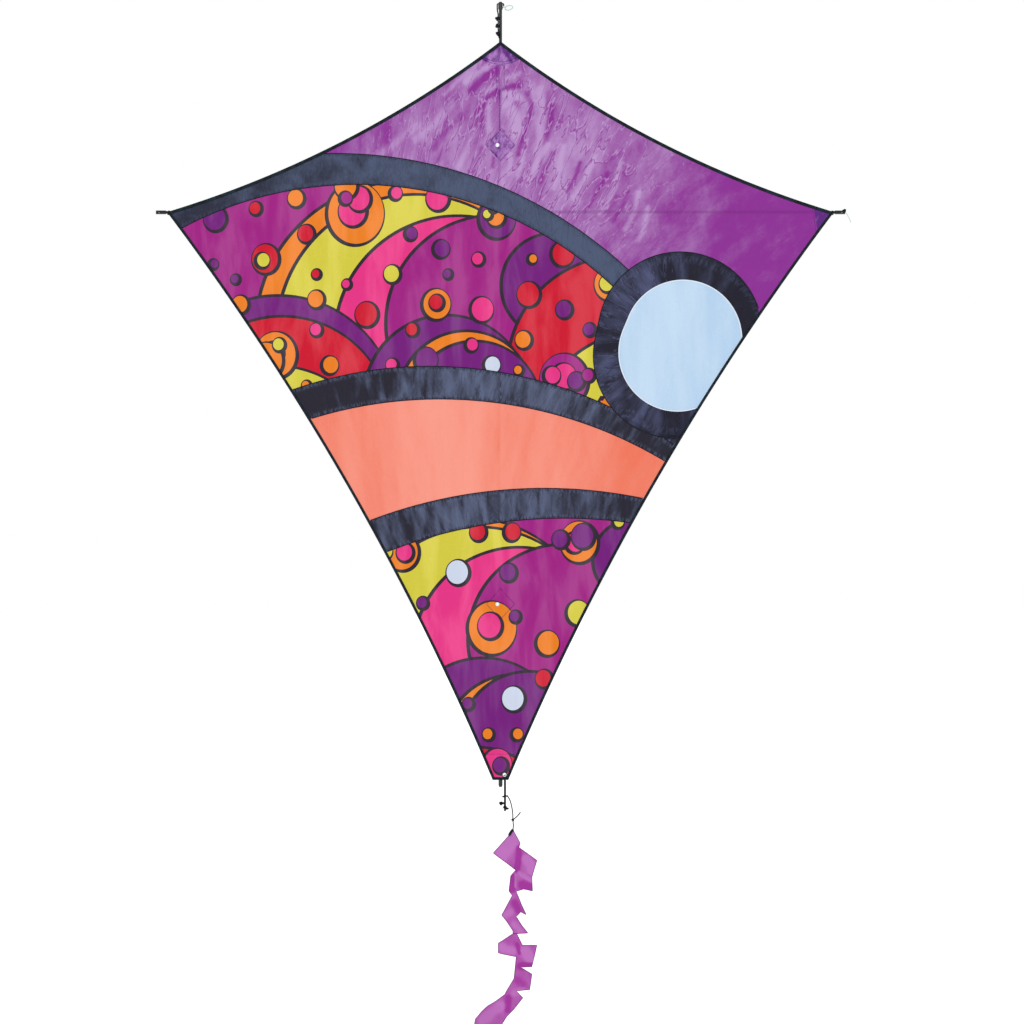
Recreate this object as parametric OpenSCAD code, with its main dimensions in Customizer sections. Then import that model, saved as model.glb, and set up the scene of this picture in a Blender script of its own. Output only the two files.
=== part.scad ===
// Diamond kite with an appliqued sail, a rod frame behind it and a slit-ribbon tail.
// Millimetres. +Z runs up the spine towards the nose and the sail faces -Y.
// The origin is on the spine's axis, level with the upper bridle eyelet.

/* [Sail] */
// Height of the nose above the upper bridle eyelet
nose_z = 185; // [170:1:200]
// Half of the sail's span, from the spine to a wing tip
half_span = 594; // [580:1:610]
// Drop from the upper bridle eyelet to the wing tips
tip_drop = 119; // [112:1:126]
// Drop from the upper bridle eyelet to the bottom edge
bottom_drop = 1130; // [1110:1:1150]
// Half width of the short straight bottom edge
bottom_half = 14; // [13:0.5:16]
// Inward sag of each leading edge between the nose and the tip
lead_sag = 30; // [24:1:36]
// Inward sag of each trailing edge between the tip and the bottom
trail_sag = 36; // [28:1:42]
// Thickness of the sail cloth with its seams
cloth_t = 0.5; // [0.4:0.05:0.6]
// Visible width of the binding on the leading edges
lead_bind_w = 6; // [5:0.5:8]
// Visible width of the binding on the trailing and bottom edges
trail_bind_w = 5; // [4:0.5:6]
// Thickness of the folded binding
bind_t = 2; // [1.6:0.1:2.4]

/* [Frame] */
// Diameter of the spine rod
spine_d = 5.5; // [5:0.1:6]
// Length of the spine that stands above the nose of the sail
spine_above_nose = 61; // [50:1:70]
// Diameter of the two spreader rods
spreader_d = 5; // [4.5:0.1:5.5]
// Distance of the spreader's centre behind the spine's axis
spreader_back = 8.5; // [8:0.1:9]
// Length of the tube that joins the two halves of the spine
ferrule_len = 70; // [50:1:90]
// Length of each spreader socket
socket_len = 52; // [40:1:60]

/* [Eyelets] */
// Outer diameter of an eyelet
eyelet_d = 7.2; // [6.8:0.1:7.6]
// Diameter of the hole through an eyelet
eyelet_hole_d = 4; // [3.6:0.1:4.4]
// Distance of the bridle eyelets to the left of the spine
eyelet_x = 5.4; // [5.2:0.1:6]
// Drop from the upper to the lower bridle eyelet
eyelet_gap = 817; // [800:1:830]

/* [Tail] */
// Diameter of the doubled cord that the tail is tied to
leader_d = 3.8; // [3.2:0.1:4]
// Diameter of the thin cord tied to the ribbon
tie_d = 2; // [1.6:0.1:2.2]
// Thickness of the ribbon
ribbon_t = 1; // [0.8:0.1:1.2]

/* [Hidden] */

LEFT = -1;
RIGHT = 1;
seam_fn = 720;         // large seam circles
edge_steps = 24;       // straight steps along each curved edge of the sail
ring_fn = 180;         // the nose patch arc
oval_steps = 96;       // sides of the disc and its ring
round_fn = 48;         // rods, sockets and knots
cloth_front = -6.5;    // front face of the sail cloth
patch_t = 0.5;         // reinforcement cloth behind the sail
wing_gap = 0.15;       // each sail half stops this far from the fold line
fit = 0.05;            // radial clearance of a rod in its fitting

purple = [0.57, 0.22, 0.60];
slate = [0.16, 0.18, 0.25];
salmon = [0.96, 0.52, 0.42];
pale_blue = [0.75, 0.85, 0.95];
magenta = [0.68, 0.18, 0.55];
ink = [0.03, 0.05, 0.07];
pale = [0.85, 0.88, 0.90];
dark_patch = [0.38, 0.15, 0.50];

nose = [0, nose_z];
tip = [half_span, -tip_drop];
bottom = [bottom_half, -bottom_drop];
cloth_back = cloth_front + cloth_t;
bind_front = cloth_front - (bind_t - cloth_t) / 2;

// Seam arcs: each is the top of a large circle, given by its centre and radius
upper_band_top = [-294, -773, 758];
upper_band_low = [-256, -732, 662];
middle_band_top = [-125, -1136, 742];
middle_band_low = [-107, -1229, 777];
lower_band_top = [78, -1480, 869];
lower_band_low = [113, -1521, 857];

// The disc and its ring are circles drawn out along a slightly tilted line
disc_centre = [320, -357];
disc_r = 105;
disc_stretch = [5, 12];
ring_centre = [316, -356];
ring_r = 146;
ring_stretch = [4, 19];

// Frame levels
spine_r = spine_d / 2;
spine_top = nose_z + spine_above_nose;
spine_bottom = -bottom_drop - 7;
ferrule_z = -440;
ferrule_r = 4;
sleeve_r = 4.2;
spreader_r = spreader_d / 2;
tip_axis_y = -1.5;
nock_end = half_span + 20;
spreader_tilt = atan((spreader_back - tip_axis_y) / nock_end);
socket_start = 9.5;
socket_r = 4.4;
tip_nock_start = half_span + 2;
tip_nock_r = 3.4;
spreader_end = tip_nock_start + 7.5;

// Tail levels: the leader hangs from a knot behind the bottom edge
leader_x = 8;
tail_y = 1.5;
leader_top = -bottom_drop + 6;
top_knot_r = 2.8;
stopper_z = -1177;
stopper_r = 3;
tie_ring_z = -1160;
tie_ring_r = 4.6;
tie_knot = [22, tail_y, -1202];
tie_knot_r = 2.4;
tail_eyelet_pos = [7.3, -bottom_drop + 9.4];

// Routes of the cords, chosen by hand
leader_route = [
    [8, 1.5, -1124], [8, 1.5, -1134], [8, 1.5, -1144], [8, 1.5, -1154], [8, 1.5, -1164],
    [8, 1.5, -1174], [8, 1.5, -1186]
];
leader_left_end = [[8, 1.5, -1168], [3, 1.5, -1170], [1, 1.5, -1175]];
leader_right_end = [[8, 0, -1182], [11, -2.5, -1181.5], [14, -3, -1181]];
tie_route = [
    [12.6, 1.5, -1160], [16, 1.5, -1165], [19, 1.5, -1174], [21, 1.5, -1184],
    [22, 1.5, -1194], [22, 1.5, -1202], [23, 1.5, -1212], [22, 1.5, -1220]
];
tie_free_end = [
    [22, 1.5, -1202], [27, 1.5, -1198], [32, 1.5, -1193], [36, 1.5, -1188]
];
nose_line_route = [
    [-2, -5, 190], [-4, -4.4, 196], [-5.2, -3, 204], [-5.4, -2.4, 214], [-5.4, -2, 224],
    [-5.4, -1, 234], [-5.8, 0, 242], [-5.8, 0, 248], [-5.6, 0, 251.6], [-4.2, 0, 253.2],
    [0, 0, 253.6], [4.2, 0, 253.2], [5.6, 0, 251.6], [5.8, 0, 248.5]
];
nose_line_r = 1.2;
nose_line_knots = [[-5.4, -2.8, 226], [-5.4, -2.8, 213], [-4.4, -4.4, 199]];
nose_knot_r = 3.1;
tip_line_route = [
    [595, -6.2, -119], [600, -6.1, -119], [606, -5.9, -119], [611, -4.4, -119],
    [613.4, -1.5, -119], [609.6, -1.5, -119]
];
tip_tag_route = [[616, -1.5, -120], [619, -1.5, -125], [622, -1.5, -131], [624, -1.5, -137]];

// Outlines of the hanging ribbon, seen from the front, down the right side and up the left
ribbon_upper = [
    [23, -1222], [35, -1243], [33, -1251], [65, -1274], [56, -1304], [57, -1328], [41, -1325],
    [28, -1329], [37, -1352], [46, -1371], [36, -1366], [28, -1374], [38, -1390], [49, -1404],
    [29, -1405], [22, -1405], [22, -1400], [12, -1385], [2, -1372], [21, -1337], [15, -1329],
    [18, -1302], [27, -1292], [-13, -1261]
];
ribbon_middle = [
    [22, -1410], [27, -1410], [39, -1425], [65, -1426], [56, -1465], [36, -1466], [56, -1477],
    [52, -1505], [28, -1508], [40, -1520], [12, -1552], [-8, -1584], [-26, -1584], [-10, -1596],
    [-4, -1622], [-20, -1640], [-30, -1640], [-54, -1610], [-45, -1557], [-22, -1533],
    [7, -1514], [24, -1485], [28, -1447], [-4, -1440], [-4, -1422]
];
ribbon_lower = [
    [-30, -1645], [-20, -1645], [6, -1668], [-16, -1676], [8, -1698], [2, -1728], [-22, -1736],
    [12, -1758], [10, -1790], [-14, -1798], [14, -1822], [-34, -1834], [-38, -1800],
    [-14, -1790], [-40, -1770], [-42, -1738], [-18, -1728], [-44, -1708], [-46, -1676]
];

// ---------- helpers ----------

function unit(v) = v / norm(v);
// Radius of an arc from its chord and its sag
function sag_radius(chord, sag) = chord * chord / (8 * sag) + sag / 2;

// Fan outside the sail whose curved rim is the edge from a to b; width grows it into the sail
module edge_fan(a, b, sag, width) {
    chord = norm(b - a);
    r = sag_radius(chord, sag);
    outward = [a[1] - b[1], b[0] - a[0]] / chord;
    centre = (a + b) / 2 + (r - sag) * outward;
    middle_angle = atan2(-outward[1], -outward[0]);
    step = 2 * asin(chord / (2 * r)) / edge_steps;
    rim = [
        for (i = [-1 : edge_steps + 1])
            let (angle = middle_angle + (i - edge_steps / 2) * step)
                centre + (r + width) * [cos(angle), sin(angle)]
    ];
    polygon(concat([centre], rim));
}

module both_sides() {
    children();
    mirror([1, 0]) children();
}

module kite_outline() {
    difference() {
        polygon([nose, tip, bottom, [-bottom[0], bottom[1]], [-tip[0], tip[1]]]);
        both_sides() {
            edge_fan(nose, tip, lead_sag, 0);
            edge_fan(tip, bottom, trail_sag, 0);
        }
    }
}

module leading_zone() {
    both_sides() edge_fan(nose, tip, lead_sag, lead_bind_w);
}

module trailing_zone() {
    both_sides() edge_fan(tip, bottom, trail_sag, trail_bind_w);
}

module bottom_zone() {
    translate([-half_span, -bottom_drop - 1]) square([2 * half_span, trail_bind_w + 1]);
}

// One side of the sail plane, clear of the fold line
module side_area(side) {
    low = -bottom_drop - 100;
    high = nose_z + 100;
    x = side == RIGHT ? wing_gap : -half_span - 20;
    translate([x, low]) square([half_span + 20 - wing_gap, high - low]);
}

// Everything inside the bindings, with the eyelet holes cut out
module cloth_area() {
    difference() {
        kite_outline();
        leading_zone();
        trailing_zone();
        bottom_zone();
        eyelet_places() circle(d = barrel_d() + 2 * fit, $fn = round_fn);
    }
}

function barrel_d() = eyelet_hole_d + 1.4;

module eyelet_places() {
    translate([-eyelet_x, 0]) children();
    translate([-eyelet_x, -eyelet_gap]) children();
    translate(tail_eyelet_pos) children();
}

module seam(arc) {
    translate([arc[0], arc[1]]) circle(r = arc[2], $fn = seam_fn);
}

// A circle drawn out along a short line
module stretched_circle(centre, r, stretch) {
    polygon([for (i = [0 : oval_steps - 1])
        let (way = [cos(i * 360 / oval_steps), sin(i * 360 / oval_steps)])
        centre + r * way + (way * stretch < 0 ? -stretch : stretch)]);
}

// The middle band's corner below the ring, where the band runs up to the ring
module band_corner() {
    translate([280, -560]) square([60, 42]);
}

module disc_area() {
    stretched_circle(disc_centre, disc_r, disc_stretch);
}

module ring_area() {
    stretched_circle(ring_centre, ring_r, ring_stretch);
}

// Plate cut from a front-view outline
module plate(front_y, thick) {
    translate([0, front_y + thick, 0]) rotate([90, 0, 0]) linear_extrude(thick) children();
}

module cloth(side, tint) {
    color(tint) plate(cloth_front, cloth_t) intersection() {
        side_area(side);
        cloth_area();
        children();
    }
}

module binding(side) {
    color(ink) plate(bind_front, bind_t) intersection() {
        side_area(side);
        kite_outline();
        children();
    }
}

module patch(side) {
    color(dark_patch) plate(cloth_back, patch_t) intersection() {
        side_area(side);
        cloth_area();
        children();
    }
}

// Tube of constant radius along a route that lies close to one XZ plane
module tube(route, r, sides = 8) {
    last = len(route) - 1;
    rings = [
        for (i = [0 : last])
            let (
                along = unit(route[min(i + 1, last)] - route[max(i - 1, 0)]),
                u = unit(cross([0, 1, 0], along)),
                v = cross(along, u)
            )
            for (k = [0 : sides - 1])
                route[i] + r * (cos(360 * k / sides) * u + sin(360 * k / sides) * v)
    ];
    walls = [
        for (i = [0 : last - 1], k = [0 : sides - 1])
            let (
                a = i * sides + k,
                b = (i + 1) * sides + k,
                c = (i + 1) * sides + (k + 1) % sides,
                d = i * sides + (k + 1) % sides
            )
            each [[a, b, c], [a, c, d]]
    ];
    start_cap = [for (k = [0 : sides - 1]) k];
    end_cap = [for (k = [sides - 1 : -1 : 0]) last * sides + k];
    polyhedron(concat(rings, [for (p = [route[0], route[last]]) p]),
        concat(walls,
            [for (k = [0 : sides - 1]) [len(rings), start_cap[k], start_cap[(k + 1) % sides]]],
            [for (k = [0 : sides - 1]) [len(rings) + 1, end_cap[k], end_cap[(k + 1) % sides]]]),
        convexity = 4);
}

// Children's +Z becomes the outward direction of one spreader rod
module along_spreader(side) {
    translate([0, spreader_back, -tip_drop])
        rotate([0, 0, -side * spreader_tilt])
            rotate([0, side * 90, 0])
                children();
}

module upright(r, low, high) {
    translate([0, 0, low]) cylinder(r = r, h = high - low, $fn = round_fn);
}

// ---------- sail cloth ----------

module purple_panel(side) {
    cloth(side, purple) difference() {
        kite_outline();
        seam(upper_band_top);
        ring_area();
    }
}

module upper_band(side) {
    cloth(side, slate) difference() {
        seam(upper_band_top);
        seam(upper_band_low);
        ring_area();
    }
}

module upper_print(side) {
    cloth(side, magenta) difference() {
        seam(upper_band_low);
        seam(middle_band_top);
        ring_area();
        band_corner();
    }
}

module middle_band(side) {
    cloth(side, slate) difference() {
        union() {
            seam(middle_band_top);
            band_corner();
        }
        seam(middle_band_low);
        ring_area();
    }
}

module orange_panel(side) {
    cloth(side, salmon) difference() {
        seam(middle_band_low);
        seam(lower_band_top);
    }
}

module lower_band(side) {
    cloth(side, slate) difference() {
        seam(lower_band_top);
        seam(lower_band_low);
    }
}

module lower_print(side) {
    cloth(side, magenta) seam(lower_band_low);
}

module disc() {
    cloth(RIGHT, pale_blue) disc_area();
}

module disc_ring() {
    cloth(RIGHT, slate) difference() {
        ring_area();
        disc_area();
    }
}

// ---------- bindings ----------

module leading_binding(side) {
    binding(side) leading_zone();
}

module trailing_binding(side) {
    binding(side) difference() {
        trailing_zone();
        leading_zone();
    }
}

module bottom_binding(side) {
    binding(side) difference() {
        bottom_zone();
        trailing_zone();
    }
}

// ---------- reinforcement patches behind the cloth ----------

module nose_patch(side) {
    patch(side) translate([0, nose_z + 15]) circle(r = 58, $fn = ring_fn);
}

module bridle_diamond(z) {
    translate([0, z]) polygon([[27, 0], [0, 29], [-27, 0], [0, -29]]);
}

module upper_bridle_patch(side) {
    patch(side) bridle_diamond(0);
}

module lower_bridle_patch(side) {
    patch(side) bridle_diamond(-eyelet_gap);
}

module tip_patch(side) {
    reach = half_span + 10;
    patch(side) both_sides()
        polygon([[half_span - 39, -90], [half_span - 28, -165], [reach, -165], [reach, -90]]);
}

module tail_patch(side) {
    patch(side) translate([-60, -bottom_drop]) square([120, 48]);
}

// ---------- eyelets ----------

// Front flange, barrel through the cloth and back washer, open right through
module eyelet(pos, thick) {
    flange_t = 0.6;
    front = cloth_front - flange_t;
    back = cloth_front + thick;
    color(pale) difference() {
        union() {
            plate(front, flange_t) translate(pos) circle(d = eyelet_d, $fn = round_fn);
            plate(cloth_front, thick) translate(pos) circle(d = barrel_d(), $fn = round_fn);
            plate(back, flange_t) translate(pos) circle(d = eyelet_d - 0.4, $fn = round_fn);
        }
        plate(front - 1, thick + 2 * flange_t + 2)
            translate(pos) circle(d = eyelet_hole_d, $fn = round_fn);
    }
}

module upper_eyelet() {
    eyelet([-eyelet_x, 0], cloth_t + patch_t);
}

module lower_eyelet() {
    eyelet([-eyelet_x, -eyelet_gap], cloth_t + patch_t);
}

module tail_eyelet() {
    eyelet(tail_eyelet_pos, cloth_t + patch_t);
}

// ---------- spine and what it carries ----------

module spine_upper() {
    color(ink) upright(spine_r, ferrule_z, spine_top);
}

module spine_lower() {
    color(ink) upright(spine_r, spine_bottom, ferrule_z);
}

module spine_ferrule() {
    color("dimgray") difference() {
        upright(ferrule_r, ferrule_z - ferrule_len / 2, ferrule_z + ferrule_len / 2);
        upright(spine_r + fit, ferrule_z - ferrule_len, ferrule_z + ferrule_len);
    }
}

// Cap with a cross slot that the nose line lies in
module nose_nock() {
    top = spine_top + 10;
    color(ink) difference() {
        union() {
            upright(4, spine_top - 3, top - 3);
            translate([0, 0, top - 3]) cylinder(r1 = 4, r2 = 3, h = 3, $fn = round_fn);
        }
        upright(spine_r + fit, spine_top - 4, spine_top + 1);
        translate([-6, -1.5, top - 4.6]) cube([12, 3, 8]);
    }
}

module spine_end_cap() {
    low = spine_bottom - 6;
    high = -bottom_drop + 2;
    color(ink) difference() {
        union() {
            upright(3.6, low + 3, high);
            translate([0, 0, low]) cylinder(r1 = 2.6, r2 = 3.6, h = 3, $fn = round_fn);
        }
        upright(spine_r + fit, spine_bottom - 1, high + 1);
    }
}

// Collar on the spine with a cross boss behind it, between the two sockets
module centre_fitting() {
    collar_r = 5;
    half_h = 18;
    boss_r = 5.2;
    boss_half = 4.6;
    color(ink) difference() {
        union() {
            upright(collar_r, -tip_drop - half_h, -tip_drop + half_h);
            translate([-boss_half, 0, -tip_drop - boss_r])
                cube([2 * boss_half, spreader_back, 2 * boss_r]);
            translate([-boss_half, spreader_back, -tip_drop]) rotate([0, 90, 0])
                cylinder(r = boss_r, h = 2 * boss_half, $fn = round_fn);
        }
        upright(spine_r + fit, -tip_drop - half_h - 1, -tip_drop + half_h + 1);
    }
}

module cloth_sleeve(low, high, tint) {
    color(tint) difference() {
        upright(sleeve_r, low, high);
        upright(spine_r + fit, low - 1, high + 1);
    }
}

module nose_sleeve() {
    cloth_sleeve(98, 155, dark_patch);
}

module tail_pocket() {
    cloth_sleeve(-bottom_drop + 8, -bottom_drop + 50, ink);
}

module knot(pos, r) {
    translate(pos) sphere(r = r, $fn = round_fn);
}

module nose_tension_line() {
    color(ink) {
        tube(nose_line_route, nose_line_r);
        for (pos = nose_line_knots) knot(pos, nose_knot_r);
    }
}

// Small ring of pale line on the right of the nose nock
module nock_loop() {
    color(pale) translate([15, 0, 246]) rotate([90, 0, 0])
        rotate_extrude($fn = round_fn) translate([6.5, 0]) circle(r = 0.7, $fn = 16);
}

// ---------- spreaders ----------

module spreader(side) {
    color(ink) along_spreader(side) translate([0, 0, socket_start])
        cylinder(r = spreader_r, h = spreader_end - socket_start, $fn = round_fn);
}

module socket(side) {
    lip_r = socket_r + 0.6;
    lip_h = 4;
    color(ink) along_spreader(side) translate([0, 0, socket_start]) difference() {
        union() {
            cylinder(r = socket_r, h = socket_len, $fn = round_fn);
            translate([0, 0, socket_len - lip_h]) cylinder(r = lip_r, h = lip_h, $fn = round_fn);
        }
        translate([0, 0, -1]) cylinder(r = spreader_r + fit, h = socket_len + 2, $fn = round_fn);
    }
}

// Arrow nock on the rod's end, with the slot that holds the tip line
module tip_nock(side) {
    nock_len = nock_end - tip_nock_start;
    slot_w = 2.4;
    slot_deep = 7;
    color(ink) along_spreader(side) translate([0, 0, tip_nock_start]) difference() {
        cylinder(r = tip_nock_r, h = nock_len, $fn = round_fn);
        translate([0, 0, -1])
            cylinder(r = spreader_r + fit, h = spreader_end - tip_nock_start + 1.2, $fn = round_fn);
        translate([-slot_w / 2, -6, nock_len - slot_deep]) cube([slot_w, 12, slot_deep + 1]);
    }
}

module tip_line(side) {
    color(ink) mirror([side == LEFT ? 1 : 0, 0, 0]) tube(tip_line_route, 1);
}

module tip_tag_right() {
    color(pale) tube(tip_tag_route, 0.7);
}

// ---------- tail ----------

module tail_leader() {
    r = leader_d / 2;
    color(ink) {
        tube(leader_route, r);
        knot([leader_x, tail_y, leader_top], top_knot_r);
        knot([leader_x, tail_y, stopper_z], stopper_r);
        tube(leader_left_end, r - 0.2);
        tube(leader_right_end, r - 0.2);
    }
}

// Ring round the leader, the cord down to the ribbon's corner, its knot and free end
module tail_tie() {
    r = tie_d / 2;
    color(ink) {
        translate([leader_x, tail_y, tie_ring_z]) rotate_extrude($fn = round_fn)
            translate([tie_ring_r, 0]) circle(r = r, $fn = 16);
        tube(tie_route, r);
        tube(tie_free_end, r - 0.3);
        knot(tie_knot, tie_knot_r);
    }
}

module ribbon(outline) {
    color(magenta) plate(tail_y - ribbon_t / 2, ribbon_t) polygon(outline);
}

module tail_strip_upper() {
    ribbon(ribbon_upper);
}

module tail_strip_middle() {
    ribbon(ribbon_middle);
}

module tail_strip_lower() {
    ribbon(ribbon_lower);
}

// ---------- output ----------

purple_panel(LEFT);  // purple_panel_left
purple_panel(RIGHT);  // purple_panel_right
upper_band(LEFT);  // upper_band_left
upper_band(RIGHT);  // upper_band_right
upper_print(LEFT);  // upper_print_left
upper_print(RIGHT);  // upper_print_right
middle_band(LEFT);  // middle_band_left
middle_band(RIGHT);  // middle_band_right
orange_panel(LEFT);  // orange_panel_left
orange_panel(RIGHT);  // orange_panel_right
lower_band(LEFT);  // lower_band_left
lower_band(RIGHT);  // lower_band_right
lower_print(LEFT);  // lower_print_left
lower_print(RIGHT);  // lower_print_right
disc();
disc_ring();
leading_binding(LEFT);  // leading_binding_left
leading_binding(RIGHT);  // leading_binding_right
trailing_binding(LEFT);  // trailing_binding_left
trailing_binding(RIGHT);  // trailing_binding_right
bottom_binding(LEFT);  // bottom_binding_left
bottom_binding(RIGHT);  // bottom_binding_right
nose_patch(LEFT);  // nose_patch_left
nose_patch(RIGHT);  // nose_patch_right
upper_bridle_patch(LEFT);  // upper_bridle_patch_left
upper_bridle_patch(RIGHT);  // upper_bridle_patch_right
lower_bridle_patch(LEFT);  // lower_bridle_patch_left
lower_bridle_patch(RIGHT);  // lower_bridle_patch_right
tip_patch(LEFT);  // tip_patch_left
tip_patch(RIGHT);  // tip_patch_right
tail_patch(LEFT);  // tail_patch_left
tail_patch(RIGHT);  // tail_patch_right
upper_eyelet();
lower_eyelet();
tail_eyelet();
spine_upper();
spine_lower();
spine_ferrule();
nose_nock();
spine_end_cap();
centre_fitting();
nose_sleeve();
tail_pocket();
nose_tension_line();
nock_loop();
spreader(LEFT);  // spreader_left
spreader(RIGHT);  // spreader_right
socket(LEFT);  // socket_left
socket(RIGHT);  // socket_right
tip_nock(LEFT);  // tip_nock_left
tip_nock(RIGHT);  // tip_nock_right
tip_line(LEFT);  // tip_line_left
tip_line(RIGHT);  // tip_line_right
tip_tag_right();
tail_leader();
tail_tie();
tail_strip_upper();
tail_strip_middle();
tail_strip_lower();
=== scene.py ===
import math

import bpy
import numpy as np
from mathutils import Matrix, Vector
from mathutils.geometry import delaunay_2d_cdt


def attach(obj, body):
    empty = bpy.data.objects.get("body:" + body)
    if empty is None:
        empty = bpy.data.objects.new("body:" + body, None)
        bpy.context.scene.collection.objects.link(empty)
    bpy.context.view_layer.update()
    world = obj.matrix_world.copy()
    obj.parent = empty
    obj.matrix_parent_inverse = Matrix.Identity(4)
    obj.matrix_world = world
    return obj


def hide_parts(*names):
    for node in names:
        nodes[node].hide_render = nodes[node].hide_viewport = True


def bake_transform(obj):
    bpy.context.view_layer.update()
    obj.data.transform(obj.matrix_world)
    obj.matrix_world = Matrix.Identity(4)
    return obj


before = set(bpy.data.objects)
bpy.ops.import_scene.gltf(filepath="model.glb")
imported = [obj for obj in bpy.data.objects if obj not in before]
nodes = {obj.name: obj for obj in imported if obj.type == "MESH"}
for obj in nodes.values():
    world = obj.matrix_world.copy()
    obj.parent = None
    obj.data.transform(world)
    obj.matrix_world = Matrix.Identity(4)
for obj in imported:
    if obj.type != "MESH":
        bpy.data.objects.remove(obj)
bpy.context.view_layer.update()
scene = bpy.context.scene
scene.view_settings.view_transform = "Standard"

# Lengths in the sail's own maths are millimetres, and meshes are made in metres
MM = 0.001
LEFT = -1
RIGHT = 1
SIDES = {"left": LEFT, "right": RIGHT}


def new_object(name, data):
    made = bpy.data.objects.new(name, data)
    scene.collection.objects.link(made)
    return made


def settle(piece, where, node=None):
    """where is a body to ride or a side. On a side, the piece's place is baked into its points."""
    if where in SIDES:
        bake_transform(piece)
    else:
        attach(piece, where)
    if node:
        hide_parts(node)


# --- camera ---

VIEW_X = 0.0205
VIEW_Z = -0.653
VIEW_DISTANCE = 4.31
camera_data = bpy.data.cameras.new("camera")
camera_data.lens = 85
camera_data.sensor_width = 36
camera_data.clip_end = 60
scene.camera = new_object("camera", camera_data)
scene.camera.location = (VIEW_X, -VIEW_DISTANCE, VIEW_Z)
scene.camera.rotation_euler = (math.pi / 2, 0, 0)

# --- shader helpers ---

BLACK = (0, 0, 0, 1)
WHITE = (1, 1, 1, 1)


def linear(red, green, blue):
    """An sRGB colour, 0 to 255, as a linear colour with alpha."""
    values = [value / 255 for value in (red, green, blue)]
    return (*[c / 12.92 if c <= 0.04045 else ((c + 0.055) / 1.055) ** 2.4 for c in values], 1.0)


def shaded(colour, share):
    return tuple(c * share for c in colour[:3]) + (1.0,)


class Shader:
    """A new material, and short names for its nodes. Each input takes a socket or a plain value."""

    def __init__(self, name):
        self.material = bpy.data.materials.new(name)
        self.material.use_nodes = True
        self.tree = self.material.node_tree
        self.surface = self.tree.nodes["Principled BSDF"]

    def fill(self, node, inputs):
        for key, value in inputs.items():
            if isinstance(value, bpy.types.NodeSocket):
                self.tree.links.new(value, node.inputs[key])
            else:
                node.inputs[key].default_value = value

    def add(self, kind, output, inputs, **settings):
        node = self.tree.nodes.new("ShaderNode" + kind)
        for key, value in settings.items():
            setattr(node, key, value)
        self.fill(node, inputs)
        return node.outputs[output]

    def mix(self, factor, a, b, blend="MIX"):
        return self.add("Mix", 2, {0: factor, 6: a, 7: b}, data_type="RGBA", blend_type=blend)

    def maths(self, operation, a, b=0.0):
        return self.add("Math", 0, {0: a, 1: b}, operation=operation)

    def times(self, a, b):
        return self.maths("MULTIPLY", a, b)

    def off(self, a, b):
        """The distance between two values."""
        return self.maths("ABSOLUTE", self.maths("SUBTRACT", a, b))

    def weighed(self, *pairs):
        """The sum of each value times its weight."""
        total = self.times(*pairs[0])
        for pair in pairs[1:]:
            total = self.maths("ADD", total, self.times(*pair))
        return total

    def ramp(self, source, low, high):
        """source mapped smoothly to 0 at low and 1 at high."""
        return self.add("MapRange", "Result", {"Value": source, "From Min": low, "From Max": high},
                        interpolation_type="SMOOTHSTEP")

    def attribute(self, name):
        return self.add("Attribute", "Fac", {}, attribute_name=name)

    def places(self, output, scale, **more):
        """Texture coordinates of one kind. more is a Location or a Rotation."""
        source = self.add("TexCoord", output, {})
        return self.add("Mapping", "Vector", {"Vector": source, "Scale": scale, **more})

    def noise(self, vector, detail, roughness, distortion=0.0):
        return self.add("TexNoise", "Fac", {"Vector": vector, "Scale": 1.0, "Detail": detail,
                                            "Roughness": roughness, "Distortion": distortion})

    def fine_noise(self, scale, detail, roughness, distortion=0.0):
        """Noise with the same scale each way on the object."""
        return self.noise(self.places("Object", (scale,) * 3), detail, roughness, distortion)

    def bump(self, height, strength, distance, **more):
        """more is the Normal of the bump below this one."""
        return self.add("Bump", "Normal",
                        {"Height": height, "Strength": strength, "Distance": distance, **more})

    def tones(self, source, low, high, dark, light):
        """From dark to light, both sRGB, as source goes from low to high."""
        return self.mix(self.ramp(source, low, high), linear(*dark), linear(*light))

    def grained(self, colour, grain, share):
        return self.mix(share, colour, self.mix(grain, BLACK, WHITE), "OVERLAY")

    def finish(self, colour, roughness, normal, specular, metallic=0.0):
        self.fill(self.surface, {"Base Color": colour, "Roughness": roughness, "Normal": normal,
                                 "Specular IOR Level": specular, "Metallic": metallic})
        return self.material


# --- materials ---

DIM = 0.80  # the key light adds to the white sky, so cloth colours are stored this much darker
CLOTH_SPECULAR = 0.15
WEAVE = (0.12, 0.0004)  # strength and depth of the weave's bump
PUCKER_REACH = 0.010
SPREADER_Z = -0.119
CREASE_HALF = 0.018  # how far from its level the noise still draws a sharp crease, as a painted highlight or shadow line
WASH = 0.10


def cloth_colour(colour):
    return shaded(linear(*colour), DIM)


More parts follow.
